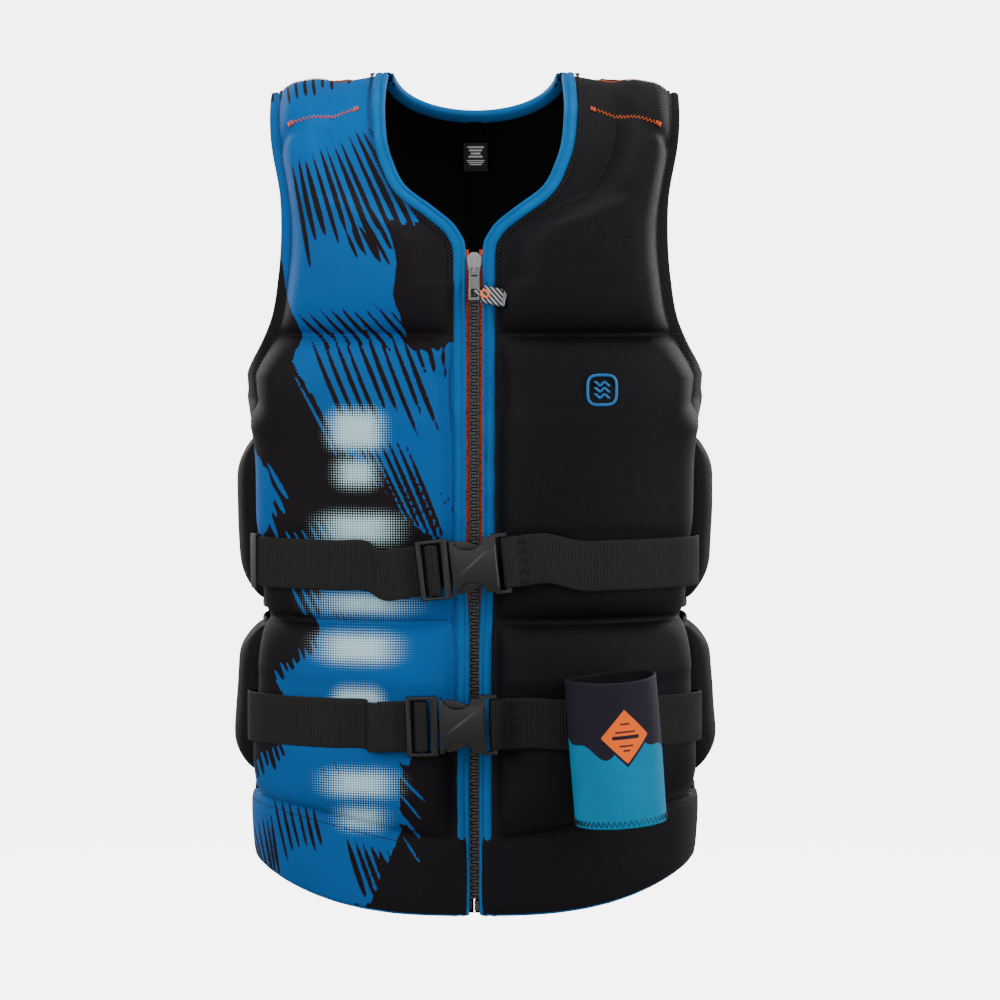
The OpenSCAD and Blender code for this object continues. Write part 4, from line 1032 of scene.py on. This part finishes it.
for side, name in SIDES:
    front = "front_" + name
    for node, material, part, rounding in (("zip_tape_", flecked_tape, "zip_tape", 0.15),
                                           ("zip_teeth_", acetal_teeth, "zip_teeth", 0.45)):
        piece = moulded(node + name, "moulded_" + node + name, material, rounding)
        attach(piece, front)
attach(moulded("zip_pin", "zip_insertion_pin", acetal_teeth, 0.4), "front_right")
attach(moulded("zip_box", "zip_retaining_box", acetal_teeth, 0.6), "front_left")
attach(moulded("zip_slider", "nickel_slider", nickel, 0.45), "slider")
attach(moulded("zip_pull", "nickel_link", nickel, 0.35), "pull")

# Guards: a short neoprene patch behind the open foot of the zip, one on each panel
for side, name in SIDES:
    rows, wide = np.linspace(1.5, 46, 30), np.linspace(0.4, EDGE_LOW + 9, 14)
    s, x = np.meshgrid(rows, wide, indexing="ij")
    phi = angle_at(x, s)
    body, up = body_point(phi, s), body_normal(phi, s)
    rim = rim_of(s - 1.5, x, 44.5, EDGE_LOW + 9.4, 0.8)
    guard = slab("zip_foot_guard_" + name, body - up * 2.6, body - up * 3.8, rim, brushed_lining, side)
    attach(guard, "front_" + name)

# Tab: a folded strip of black cloth with pale slanted stripes and a small orange mark, and a metal end clip
striped_tab, tree, where = new_material("printed_tab_cloth")
slant = add(tree, "ShaderNodeVectorRotate", {"Vector": where, "Angle": 0.72}, rotation_type="Y_AXIS")
bars = add(tree, "ShaderNodeTexWave", {"Vector": slant.outputs[0], "Scale": 118.0}, bands_direction="X")
bars = add(tree, "ShaderNodeMapRange", {"Value": bars.outputs["Fac"], "From Min": 0.62, "From Max": 0.7})
tone = add(tree, "ShaderNodeMix", {
    "Factor": bars.outputs[0], "A": linear("#121214"), "B": linear("#9aa0a4")}, data_type="RGBA")
weave = add(tree, "ShaderNodeTexNoise", {"Vector": where, "Scale": 900.0})
weave = add(tree, "ShaderNodeBump", {"Height": weave.outputs["Fac"], "Strength": 0.3, "Distance": 0.0003})
finish_material(tree, add(tree, "ShaderNodeBsdfPrincipled", {
    "Base Color": tone.outputs[2], "Roughness": 0.6, "Normal": weave.outputs[0]}))

orange_print = moulded_material("orange_rubber_print", 260.0, 3.0, ("#ee5406", "#ff7414"), 0.5, 0.15)

tab = moulded("pull_tab", "cloth_pull_tab", striped_tab, 0.7)
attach(tab, "tab")
cloth = np.array([v.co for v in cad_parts["pull_tab"].data.vertices]) / MM
tab_mid = cloth.mean(0)
axes = np.linalg.svd(cloth - tab_mid, full_matrices=False)[2]
tab_run = axes[0] * (1 if axes[0][0] > 0 else -1)
tab_out = axes[2] * (1 if axes[2][1] < 0 else -1)
tab_up = np.cross(tab_out, tab_run)
reach = [float(np.abs((cloth - tab_mid) @ axis).max()) for axis in (tab_run, tab_up, tab_out)]
CLIP_LONG, CLIP_PROUD = 2.6, 0.45
mesh = bmesh.new()
bmesh.ops.create_cube(mesh, size=1.0)
for v in mesh.verts:
    along = reach[0] - CLIP_LONG * 0.3 + v.co.x * CLIP_LONG
    rise, proud = v.co.y * (reach[1] + CLIP_PROUD) * 2, v.co.z * (reach[2] + CLIP_PROUD) * 2
    v.co = (tab_mid + tab_run * along + tab_up * rise + tab_out * proud) * MM
bmesh.ops.bevel(mesh, geom=mesh.edges[:], offset=0.5 * MM, segments=3, profile=0.6, affect="EDGES")
made = bpy.data.meshes.new("tab_end_clip")
mesh.to_mesh(made)
mesh.free()
made.materials.append(nickel)
made.polygons.foreach_set("use_smooth", [True] * len(made.polygons))
clip = facing_out(bpy.data.objects.new("tab_end_clip", made))
bpy.context.scene.collection.objects.link(clip)
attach(clip, "tab")
RING_STEPS, RING_SECTION = 40, ((2.2, -0.1), (3.8, -0.1), (3.7, 0.25), (2.3, 0.25))
points = []
for a in np.linspace(0, 2 * math.pi, RING_STEPS, endpoint=False):
    for r, h in RING_SECTION:
        in_plane = tab_run * (r * math.cos(a) + 1.5) + tab_up * r * math.sin(a) * 0.9
        points.append((tab_mid + in_plane + tab_out * (reach[2] + h)) * MM)
faces = [(i * 4 + k, i * 4 + (k + 1) % 4, (i + 1) % RING_STEPS * 4 + (k + 1) % 4, (i + 1) % RING_STEPS * 4 + k)
         for i in range(RING_STEPS) for k in range(4)]
mark = facing_out(mesh_object("orange_tab_ring", points, faces, orange_print))
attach(mark, "tab")

# ---- Belts: 38 mm ribbed nylon webbing from the side slits to the buckles ----
# Woven with cross ribs 2.5 mm apart. On the right each belt threads the ladder, on the left it is sewn.
ribbed_webbing, tree, where = new_material("ribbed_nylon_webbing")
run = add(tree, "ShaderNodeAttribute", attribute_name="run")
cross = add(tree, "ShaderNodeAttribute", attribute_name="cross")
cloth = add(tree, "ShaderNodeCombineXYZ", {"X": cross.outputs["Fac"], "Y": run.outputs["Fac"]})
yarns = add(tree, "ShaderNodeTexBrick", {
    "Vector": cloth.outputs[0], "Scale": 1.0, "Mortar Size": 0.16, "Mortar Smooth": 0.8, "Brick Width": 1.3,
    "Row Height": 1.25, "Color1": (1, 1, 1, 1), "Color2": (0.55, 0.55, 0.55, 1), "Mortar": (0, 0, 0, 1)})
tone = add(tree, "ShaderNodeMix", {
    "Factor": yarns.outputs["Color"], "A": linear("#070706"), "B": linear("#1f1d19")}, data_type="RGBA")
# Painted shade: the colour darkens to near black in the troughs between the ribs, where shade falls, and keeps
# the yarns' colour on the crests.
turn = add(tree, "ShaderNodeMath", {0: run.outputs["Fac"], 1: math.pi / 2.5}, operation="MULTIPLY")
lit_rib_crest = add(tree, "ShaderNodeMath", {0: turn.outputs[0]}, operation="SINE")
lit_rib_crest = add(tree, "ShaderNodeMath", {0: lit_rib_crest.outputs[0], 1: lit_rib_crest.outputs[0]}, operation="MULTIPLY")
rib_trough_shade = add(tree, "ShaderNodeMix", {
    "Factor": lit_rib_crest.outputs[0], "A": linear("#040404"), "B": tone.outputs[2]}, data_type="RGBA")
yarn_bump = add(tree, "ShaderNodeBump", {"Height": yarns.outputs["Color"], "Strength": 0.55, "Distance": 0.0003})
finish_material(tree, add(tree, "ShaderNodeBsdfPrincipled", {
    "Base Color": rib_trough_shade.outputs[2], "Roughness": 0.6, "Specular IOR Level": 0.25,
    "Normal": yarn_bump.outputs[0]}))

WEB_W, WEB_T, RIB = 38, 1.8, 2.5
BUCKLE_Y = -(DEPTH + FULL_T) + 0.5
BUCKLES = {"upper": ((-8, UPPER_BELT), math.radians(6)), "lower": ((-17, LOWER_BELT), math.radians(1.5))}
LADDER_ROUTE = [(-62, 5), (-38, 5.1), (-30.4, 5.1), (-28.3, 6.6), (-27.6, 8.8), (-26, 10.3), (-20.8, 10.3),
                (-19, 8.8), (-18.5, 4.6), (-20.2, 2.3), (-26, 2.1), (-56, 2.1)]
BAR_ROUTE = [(62, 3.8), (50, 4.6), (43, 6.4), (36, 9.6), (31.4, 9.9), (29.7, 8.4), (29.7, 5), (31.4, 3.4),
             (38, 2.6), (56, 1.5)]
BELT_OUT, SLIT = FULL_T + 2.2, 69.1


def on_panel(angles, out, height, mirror):
    """Belt stations on a panel at section angles, each a point and the strip's up direction."""
    points = [body_point(a, height) + o * body_normal(a, height) for a, o in zip(angles, out)]
    return [(np.array([-p[0] if mirror else p[0], p[1], height]), np.array([0.0, 0, 1])) for p in points]


def in_buckle(part, route):
    (x, z), tilt = BUCKLES[part]
    return [(np.array([x + lx * math.cos(tilt), BUCKLE_Y - out, z + lx * math.sin(tilt)]),
             np.array([-math.sin(tilt), 0, math.cos(tilt)])) for lx, out in route]


def curve_through(points, spacing):
    """A smooth line through points, resampled at even spacing."""
    points = np.array(points)
    padded = np.concatenate([[2 * points[0] - points[1]], points, [2 * points[-1] - points[-2]]])
    fine = []
    for i in range(1, len(padded) - 2):
        p0, p1, p2, p3 = padded[i - 1:i + 3]
        knots = np.cumsum([0] + [max(1e-6, np.linalg.norm(b[:3] - a[:3])) ** 0.5
                                 for a, b in ((p0, p1), (p1, p2), (p2, p3))])
        t = np.linspace(knots[1], knots[2], 24, endpoint=False)[:, None]
        a1 = (knots[1] - t) / (knots[1] - knots[0]) * p0 + (t - knots[0]) / (knots[1] - knots[0]) * p1
        a2 = (knots[2] - t) / (knots[2] - knots[1]) * p1 + (t - knots[1]) / (knots[2] - knots[1]) * p2
        a3 = (knots[3] - t) / (knots[3] - knots[2]) * p2 + (t - knots[2]) / (knots[3] - knots[2]) * p3
        b1 = (knots[2] - t) / (knots[2] - knots[0]) * a1 + (t - knots[0]) / (knots[2] - knots[0]) * a2
        b2 = (knots[3] - t) / (knots[3] - knots[1]) * a2 + (t - knots[1]) / (knots[3] - knots[1]) * a3
        fine.append((knots[2] - t) / (knots[2] - knots[1]) * b1 + (t - knots[1]) / (knots[2] - knots[1]) * b2)
    fine = np.concatenate(fine + [padded[-2:-1]])
    here = run_of(fine[:, :3])
    even = np.linspace(0, here[-1], int(here[-1] / spacing) + 1)
    return np.stack([np.interp(even, here, fine[:, k]) for k in range(fine.shape[1])], -1)


def strap(name, stations, material):
    """Ribbed webbing along stations, with its run and cross distances kept for the weave."""
    line = curve_through([np.concatenate(station) for station in stations], RIB / 5)
    path, up = line[:, :3], unit(line[:, 3:])
    run = run_of(path)
    thick = unit(np.cross(unit(np.gradient(path, axis=0)), up))
    cross = np.concatenate([[-19, -18.8, -18.3, -17.5], np.linspace(-16, 16, 11), [17.5, 18.3, 18.8, 19]])
    rib = 0.3 * np.abs(np.sin(math.pi * run / RIB)) ** 0.7
    edge = swell((cross + WEB_W / 2) / WEB_W, 14)
    half = (WEB_T / 2 - 0.2 + rib)[:, None] * (0.55 + 0.45 * edge)
    middle = path[:, None] + up[:, None] * cross[:, None]
    outer = middle + thick[:, None] * half[..., None]
    inner = middle - thick[:, None] * half[..., None]
    piece = slab(name, outer, inner, np.ones(half.shape), material)
    store(piece, "run", np.repeat(run, len(cross)))
    store(piece, "cross", np.tile(cross, len(run)))
    return piece, run[-1]


belt_angles, belt_outs = [SLIT, SLIT, 66, 58, 49, 40, 31, 22], [1.2, 12, BELT_OUT - 3] + [BELT_OUT] * 5
for part, height in (("upper", UPPER_BELT), ("lower", LOWER_BELT)):
    right = on_panel(belt_angles, belt_outs, height, False) + in_buckle(part, LADDER_ROUTE)
    if part == "lower":
        angles = [SLIT, SLIT, 66, 58, 47, 37, 17]
        outs = [1.2, 12, BELT_OUT - 3, BELT_OUT, BELT_OUT] + [BELT_OUT + 4] * 2
    else:
        angles, outs = belt_angles, belt_outs
    left = on_panel(angles, outs, height, True) + in_buckle(part, BAR_ROUTE)
    for name, stations in (("right", right), ("left", left)):
        belt, long = strap(f"{part}_webbing_{name}", stations, ribbed_webbing)
        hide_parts(f"{part}_belt_{name}")
        if name == "left":
            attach(belt, "front_left")
            continue
        start, end = [stations[i][0] * MM for i in (4, 8)]
        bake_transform(belt)

# Box of stitches where each belt's fold is sewn: five rows of zigzag across the fold
for part, height in (("upper", UPPER_BELT), ("lower", LOWER_BELT)):
    lines, ups = [], []
    (a, up), (b, _) = in_buckle(part, [(50, 5.9), (41, 8.4)])
    out = unit(np.cross(b - a, up))
    out = out * (-1 if out[1] > 0 else 1)
    for high in np.linspace(-15, 15, 5):
        row = np.linspace(a, b, 40) + up * high + out * 0.15
        more = zigzag(row, np.tile(out, (40, 1)), 3.2, 2.2)
        lines, ups = lines + more[0], ups + more[1]
    box = strands(part + "_belt_box_stitches", lines, ups, 0.28, black_thread, -1)
    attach(box, "front_left")

# Keeper: a moulded rubber band that holds the upper belt's spare end
rubber = moulded_material("moulded_rubber_band", 120.0, 4.0, ("#0e0e0f", "#1b1b1c"), 0.55, 0.1)
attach(moulded("belt_keeper", "rubber_keeper", rubber, 0.8), "keeper")

# ---- Buckles: black acetal side-release pairs ----
# Injection moulded with a fine spark-eroded grain, so highlights are broad and edges a little brighter.
black_acetal, tree, where = new_material("moulded_black_acetal")
spark = add(tree, "ShaderNodeTexNoise", {"Vector": where, "Scale": 1100.0, "Detail": 2.0})
flow = add(tree, "ShaderNodeTexNoise", {"Vector": where, "Scale": 60.0, "Detail": 3.0})
gloss = add(tree, "ShaderNodeMapRange", {"Value": flow.outputs["Fac"], "To Min": 0.26, "To Max": 0.4})
tone = add(tree, "ShaderNodeMix", {
    "Factor": flow.outputs["Fac"], "A": linear("#060606"), "B": linear("#0e0d0c")}, data_type="RGBA")
grain = add(tree, "ShaderNodeBump", {"Height": spark.outputs["Fac"], "Strength": 0.12, "Distance": 0.0002})
finish_material(tree, add(tree, "ShaderNodeBsdfPrincipled", {
    "Base Color": tone.outputs[2], "Roughness": gloss.outputs[0], "Normal": grain.outputs[0]}))


def in_frame(part, points):
    """Points of a buckle's own frame (along the belt, out of it, up it) in the vest's frame, in metres."""
    (x, z), tilt = BUCKLES[part]
    points = np.asarray(points, float)
    lx, out, up = points[..., 0], points[..., 1], points[..., 2]
    return np.stack([x + lx * math.cos(tilt) - up * math.sin(tilt), BUCKLE_Y - out,
                     z + lx * math.sin(tilt) + up * math.cos(tilt)], -1) * MM


def crowned_plate(name, part, material):
    """The female half's front: a waisted plate that swells in its middle and flares into two horns."""
    along = spaced(-9, 26, 1.0, 2)
    across = spaced(-1, 1, 0.045, 0.14)
    lx, v = np.meshgrid(along, across, indexing="ij")
    notch = np.sqrt(np.clip(13**2 - (lx - 5) ** 2, 0, None))
    half = np.where(np.abs(lx - 5) < 13, 25.5 - notch, 20.5)
    half = np.minimum(20.5, half)
    up = v * half
    crown = 13.0 + 1.5 * (1 - (up / 21) ** 2) * swell((lx + 9) / 35, 4)
    crease = np.clip((up - (lx - 4) * 0.75) / 6, -1, 1)
    crown = crown - 0.7 * step(-0.15, 0.15, crease) * step(-6, 4, lx)
    d = rim_of(lx + 9, (1 - np.abs(v)) * half, 35, 99, 1.6)
    top = in_frame(part, np.stack([lx, 11.4 + (crown - 11.4) * d, up], -1)) / MM
    base = in_frame(part, np.stack([lx, np.full(lx.shape, 10.2), up], -1)) / MM
    return slab(name, top, base, np.ones(lx.shape), material)


for part in ("upper", "lower"):
    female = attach(moulded(part + "_female_buckle", part + "_buckle_socket", black_acetal, 0.9), "front_left")
    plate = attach(crowned_plate(part + "_buckle_face", part, black_acetal), "front_left")
    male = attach(moulded(part + "_male_buckle", part + "_buckle_plug", black_acetal, 0.9), part + "_male")
    for end in ("top", "bottom"):
        prong = moulded(f"{part}_prong_{end}", f"{part}_latch_{end}", black_acetal, 0.6)
        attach(prong, f"{part}_latch_{end}")

# ---- Chest badge: a raised rubber emblem on the left chest ----
# Heat-pressed blue rubber: a rounded ring round three short waves.
blue_rubber = moulded_material("pressed_blue_rubber", 300.0, 3.0, ("#00528e", "#0068aa"), 0.42, 0.15)


def print_bar(name, centre, u_axis, v_axis, out, path, half, height, material, closed=False):
    """A raised bar with a domed top along a path drawn in a plane."""
    path = np.array(path, float)
    along = np.gradient(path, axis=0)
    if closed:
        along = np.roll(path, -1, 0) - np.roll(path, 1, 0)
    along = along / np.linalg.norm(along, axis=1, keepdims=True)
    side_on = np.stack([-along[:, 1], along[:, 0]], -1)
    section = [(-half, 0), (half, 0), (half, height * 0.6), (half * 0.7, height), (-half * 0.7, height),
               (-half, height * 0.6)]
    points, count = [], len(section)
    for p, q in zip(path, side_on):
        for a, h in section:
            flat = p + q * a
            points.append((centre + u_axis * flat[0] + v_axis * flat[1] + out * h) * MM)
    rings = len(path)
    faces = [(i * count + k, i * count + (k + 1) % count, (i + 1) % rings * count + (k + 1) % count,
              (i + 1) % rings * count + k) for i in range(rings if closed else rings - 1) for k in range(count)]
    if not closed:
        faces += [list(range(count - 1, -1, -1)), [(rings - 1) * count + k for k in range(count)]]
    return facing_out(mesh_object(name, points, faces, material))


low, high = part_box("chest_badge")
badge_x = (low.x + high.x) / 2 / MM
seat, out = front_at(np.array([badge_x]), np.array([403.0]), 21, lift=-0.1)
seat, out = seat[0] * [-1, 1, 1], out[0] * [-1, 1, 1]
badge_u = unit(np.cross(np.array([0, 0, 1.0]), out) * -1)
badge_u = badge_u * (1 if badge_u[0] > 0 else -1)
badge_v = unit(np.cross(badge_u, out))
badge_v = badge_v * (1 if badge_v[2] > 0 else -1)
turn = np.linspace(0, 2 * math.pi, 72, endpoint=False)
squircle = np.stack([np.sign(f(turn)) * np.abs(f(turn)) ** 0.55 * 11.2 for f in (np.cos, np.sin)], -1)
badge = print_bar("badge_ring", seat, badge_u, badge_v, out, squircle, 1.1, 1.3, blue_rubber, closed=True)
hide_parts("chest_badge")
badge_pieces = [badge]
for k, high_v in enumerate((-4.6, 0, 4.6)):
    wave = [(x, high_v + 1.3 * math.sin(x * 0.9)) for x in np.linspace(-6, 6, 28)]
    wave_bar = print_bar(f"badge_wave_{k + 1}", seat, badge_u, badge_v, out, wave, 0.95, 1.3, blue_rubber)
    badge_pieces.append(wave_bar)
for piece in badge_pieces:
    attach(piece, "front_left")

# ---- Neck label: a black woven patch with plain pale bars for its print ----
woven_label, tree, where = new_material("woven_satin_label")
satin = add(tree, "ShaderNodeTexWave", {"Vector": where, "Scale": 500.0}, bands_direction="Z")
tone = add(tree, "ShaderNodeMix", {
    "Factor": satin.outputs["Fac"], "A": linear("#161618"), "B": linear("#242427")}, data_type="RGBA")
satin = add(tree, "ShaderNodeBump", {"Height": satin.outputs["Fac"], "Strength": 0.2, "Distance": 0.0002})
finish_material(tree, add(tree, "ShaderNodeBsdfPrincipled", {
    "Base Color": tone.outputs[2], "Roughness": 0.5, "Normal": satin.outputs[0]}))
pale_print, tree, where = new_material("pale_transfer_print")
speck = add(tree, "ShaderNodeTexNoise", {"Vector": where, "Scale": 900.0})
tone = add(tree, "ShaderNodeMix", {
    "Factor": speck.outputs["Fac"], "A": linear("#b9bcbf"), "B": linear("#e6e8ea")}, data_type="RGBA")
finish_material(tree, add(tree, "ShaderNodeBsdfPrincipled", {"Base Color": tone.outputs[2], "Roughness": 0.6}))
label = moulded("neck_label", "woven_neck_label", woven_label, 0.2)
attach(label, "vest_back")
low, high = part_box("neck_label")
label_mid = np.array([0, (low.y + high.y) / 2, (low.z + high.z) / 2]) / MM
slope = math.atan2(high.y - low.y - 0.0006, high.z - low.z)
label_v = np.array([0, -math.sin(slope), math.cos(slope)])
label_out = np.array([0, -math.cos(slope), -math.sin(slope)])
LABEL_BARS = (9, 6.5), (6.2, 5.2), (3.4, 3.8), (0.6, 5.6), (-2.8, 7), (-4.6, 6.2), (-6.4, 5)
for k, (height, half) in enumerate(LABEL_BARS):
    line = [(x, height) for x in np.linspace(-half, half, 8)]
    bar = print_bar(f"label_bar_{k + 1}", label_mid + label_out * 0.25, np.array([1.0, 0, 0]), label_v, label_out,
                    line, 0.85 if height > 0 else 0.45, 0.15, pale_print)
    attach(bar, "vest_back")

# ---- Can cooler: a neoprene sleeve with a stitched base, hung on the lower belt ----
# One strip of 3 mm neoprene seamed at the back: navy above a wavy teal, with a flat orange diamond.
COOLER_R, COOLER_DEEP, COOLER_TOP = 34.5, 110, 40
loop_points = [p for p, _ in on_panel([37, 17], [BELT_OUT + 4] * 2, LOWER_BELT, True)]
loop_mid = (loop_points[0] + loop_points[1]) / 2
yaw = math.atan2(*(loop_points[0] - loop_points[1])[[1, 0]])
lean = -math.radians(4.5)
turn_z = np.array([[math.cos(yaw), -math.sin(yaw), 0], [math.sin(yaw), math.cos(yaw), 0], [0, 0, 1]])
turn_y = np.array([[math.cos(lean), 0, math.sin(lean)], [0, 1, 0], [-math.sin(lean), 0, math.cos(lean)]])
cooler_turn = turn_z @ turn_y
cooler_axis = np.array([0, -(WEB_T / 2 + 1.4 + COOLER_R), COOLER_TOP])


def at_cooler(points):
    return loop_mid + (np.asarray(points) + cooler_axis) @ cooler_turn.T


cooler_cloth, tree, where = new_material("two_tone_printed_neoprene")
tide = add(tree, "ShaderNodeAttribute", attribute_name="tide")
gem = add(tree, "ShaderNodeAttribute", attribute_name="gem")
bars = add(tree, "ShaderNodeAttribute", attribute_name="bars")
inside = add(tree, "ShaderNodeAttribute", attribute_name="inside")
shade = add(tree, "ShaderNodeTexNoise", {"Vector": where, "Scale": 40.0, "Detail": 3.0})
teal = add(tree, "ShaderNodeMix", {
    "Factor": shade.outputs["Fac"], "A": linear("#006a94"), "B": linear("#0080aa")}, data_type="RGBA")
colour = teal.outputs[2]
LAYERS = ((tide, 0.0, "#1d1a26"), (gem, -1.8, "#191a2c"), (gem, 0.0, "#ff6a10"), (bars, 0.0, "#20202e"),
          (inside, 0.5, "#0e0d12"))
for field, edge, code in LAYERS:
    over = add(tree, "ShaderNodeMapRange", {"Value": field.outputs["Fac"], "From Min": edge - 0.12,
                                            "From Max": edge + 0.12})
    colour = add(tree, "ShaderNodeMix", {
        "Factor": over.outputs[0], "A": colour, "B": linear(code)}, data_type="RGBA").outputs[2]
finish_material(tree, add(tree, "ShaderNodeBsdfPrincipled", {
    "Base Color": colour, "Roughness": 0.66, "Specular IOR Level": 0.15,
    "Normal": knit(tree, where, 0.9, 0.3).outputs[0]}))

turns = np.linspace(0, 2 * math.pi, 217)[:-1]
deeps = spaced(-COOLER_DEEP, 0, 1.2, 2)
z, theta = np.meshgrid(deeps, turns, indexing="ij")
flex = 0.5 * np.sin(2 * theta + 0.6) * step(-60, 0, z) + 0.25 * np.sin(3 * theta) * step(-30, 0, z)
belly = -0.35 * np.cos(z / 18) * np.sin(theta * 2 + 1)
mouth = 0.8 * np.sin(2 * theta + 1.2) * step(-16, 0, z)
radius = COOLER_R + flex + belly
skins = []
for r in (radius, radius - 3.0):
    skins.append(at_cooler(np.stack([r * np.cos(theta), r * np.sin(theta), z + mouth], -1)))
rounding = rim_of(z + COOLER_DEEP, np.full(z.shape, 9.0), COOLER_DEEP, 99, 1.2)
middle = (skins[0] + skins[1]) / 2
skins = [middle + (skin - middle) * rounding[..., None] for skin in skins]
rows, cols = z.shape
count = rows * cols
faces = []
for i in range(rows - 1):
    for j in range(cols):
        a, b = i * cols + j, i * cols + (j + 1) % cols
        faces += [(a, b, b + cols, a + cols), (a + count, a + cols + count, b + cols + count, b + count)]
for j in range(cols):
    k = (j + 1) % cols
    faces += [(j, j + count, k + count, k),
              (count - cols + j, count - cols + k, 2 * count - cols + k, 2 * count - cols + j)]
sleeve = facing_out(mesh_object("neoprene_sleeve", np.concatenate([s.reshape(-1, 3) for s in skins]) * MM, faces,
                                cooler_cloth))
face_at = -math.pi / 2 - 0.06
arc = (theta - face_at + math.pi) % (2 * math.pi) - math.pi
run = arc * COOLER_R
shore = -49 + 6 * np.sin((run + 4) / 9.5) + 3.5 * np.sin(run / 5.2 + 1)
lozenge = 19 - (np.abs(run - 1) + np.abs(z + 41) * 0.94)
store(sleeve, "tide", z - shore)
store(sleeve, "gem", lozenge * 0.7)
lines = np.full(z.shape, -9.0)
for height, half in ((-31.5, 4), (-37.5, 8), (-41.5, 10.5), (-48, 5.5), (-51.5, 3)):
    lines = np.maximum(lines, np.minimum((1.4 if abs(height + 41.5) < 0.1 else 0.7) - np.abs(z - height),
                                         half - np.abs(run - 1)))
store(sleeve, "bars", lines)
skin_side = np.concatenate([np.zeros(count), np.ones(count)]).astype(np.float32)
sleeve.data.attributes.new("inside", "FLOAT", "POINT").data.foreach_set("value", skin_side)
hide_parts("cooler_sleeve")
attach(sleeve, "cooler")
rings = np.linspace(0, 1, 14)
bulge = [(COOLER_R - 0.4) * r for r in rings]
base_points = [at_cooler([0, 0, -COOLER_DEEP - 2.4])]
for r in bulge[1:]:
    drop = -COOLER_DEEP - 2.4 * (1 - (r / COOLER_R) ** 6) - 0.2
    base_points.extend(at_cooler(np.stack([r * np.cos(turns), r * np.sin(turns), np.full(len(turns), drop)], -1)))
top_first = len(base_points)
base_points.append(at_cooler([0, 0, -COOLER_DEEP + 0.6]))
base_points.extend(at_cooler(np.stack([(COOLER_R - 0.6) * np.cos(turns), (COOLER_R - 0.6) * np.sin(turns),
                                       np.full(len(turns), -COOLER_DEEP + 0.5)], -1)))
n = len(turns)
faces = [(0, 1 + j, 1 + (j + 1) % n) for j in range(n)]
for i in range(len(rings) - 2):
    a = 1 + i * n
    faces += [(a + j, a + n + j, a + n + (j + 1) % n, a + (j + 1) % n) for j in range(n)]
last = 1 + (len(rings) - 2) * n
faces += [(last + j, top_first + 1 + j, top_first + 1 + (j + 1) % n, last + (j + 1) % n) for j in range(n)]
faces += [(top_first, top_first + 1 + (j + 1) % n, top_first + 1 + j) for j in range(n)]
base = facing_out(mesh_object("neoprene_base", np.array(base_points) * MM, faces, plain_neoprene))
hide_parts("cooler_base")
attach(base, "cooler")
turn = np.linspace(0, 2 * math.pi, 241)
line = at_cooler(np.stack([(COOLER_R + 0.25) * np.cos(turn), (COOLER_R + 0.25) * np.sin(turn),
                           np.full(241, -COOLER_DEEP + 4.0)], -1))
up = unit(line - at_cooler(np.array([0, 0, -COOLER_DEEP + 4.0])))
lines, ups = zigzag(line, up, 4.2, 2.0)
seam = strands("cooler_base_stitches", lines, ups, 0.4, black_thread, -1)
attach(seam, "cooler")
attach(moulded("cooler_loop", "webbing_hanger", ribbed_webbing, 0.3), "cooler")
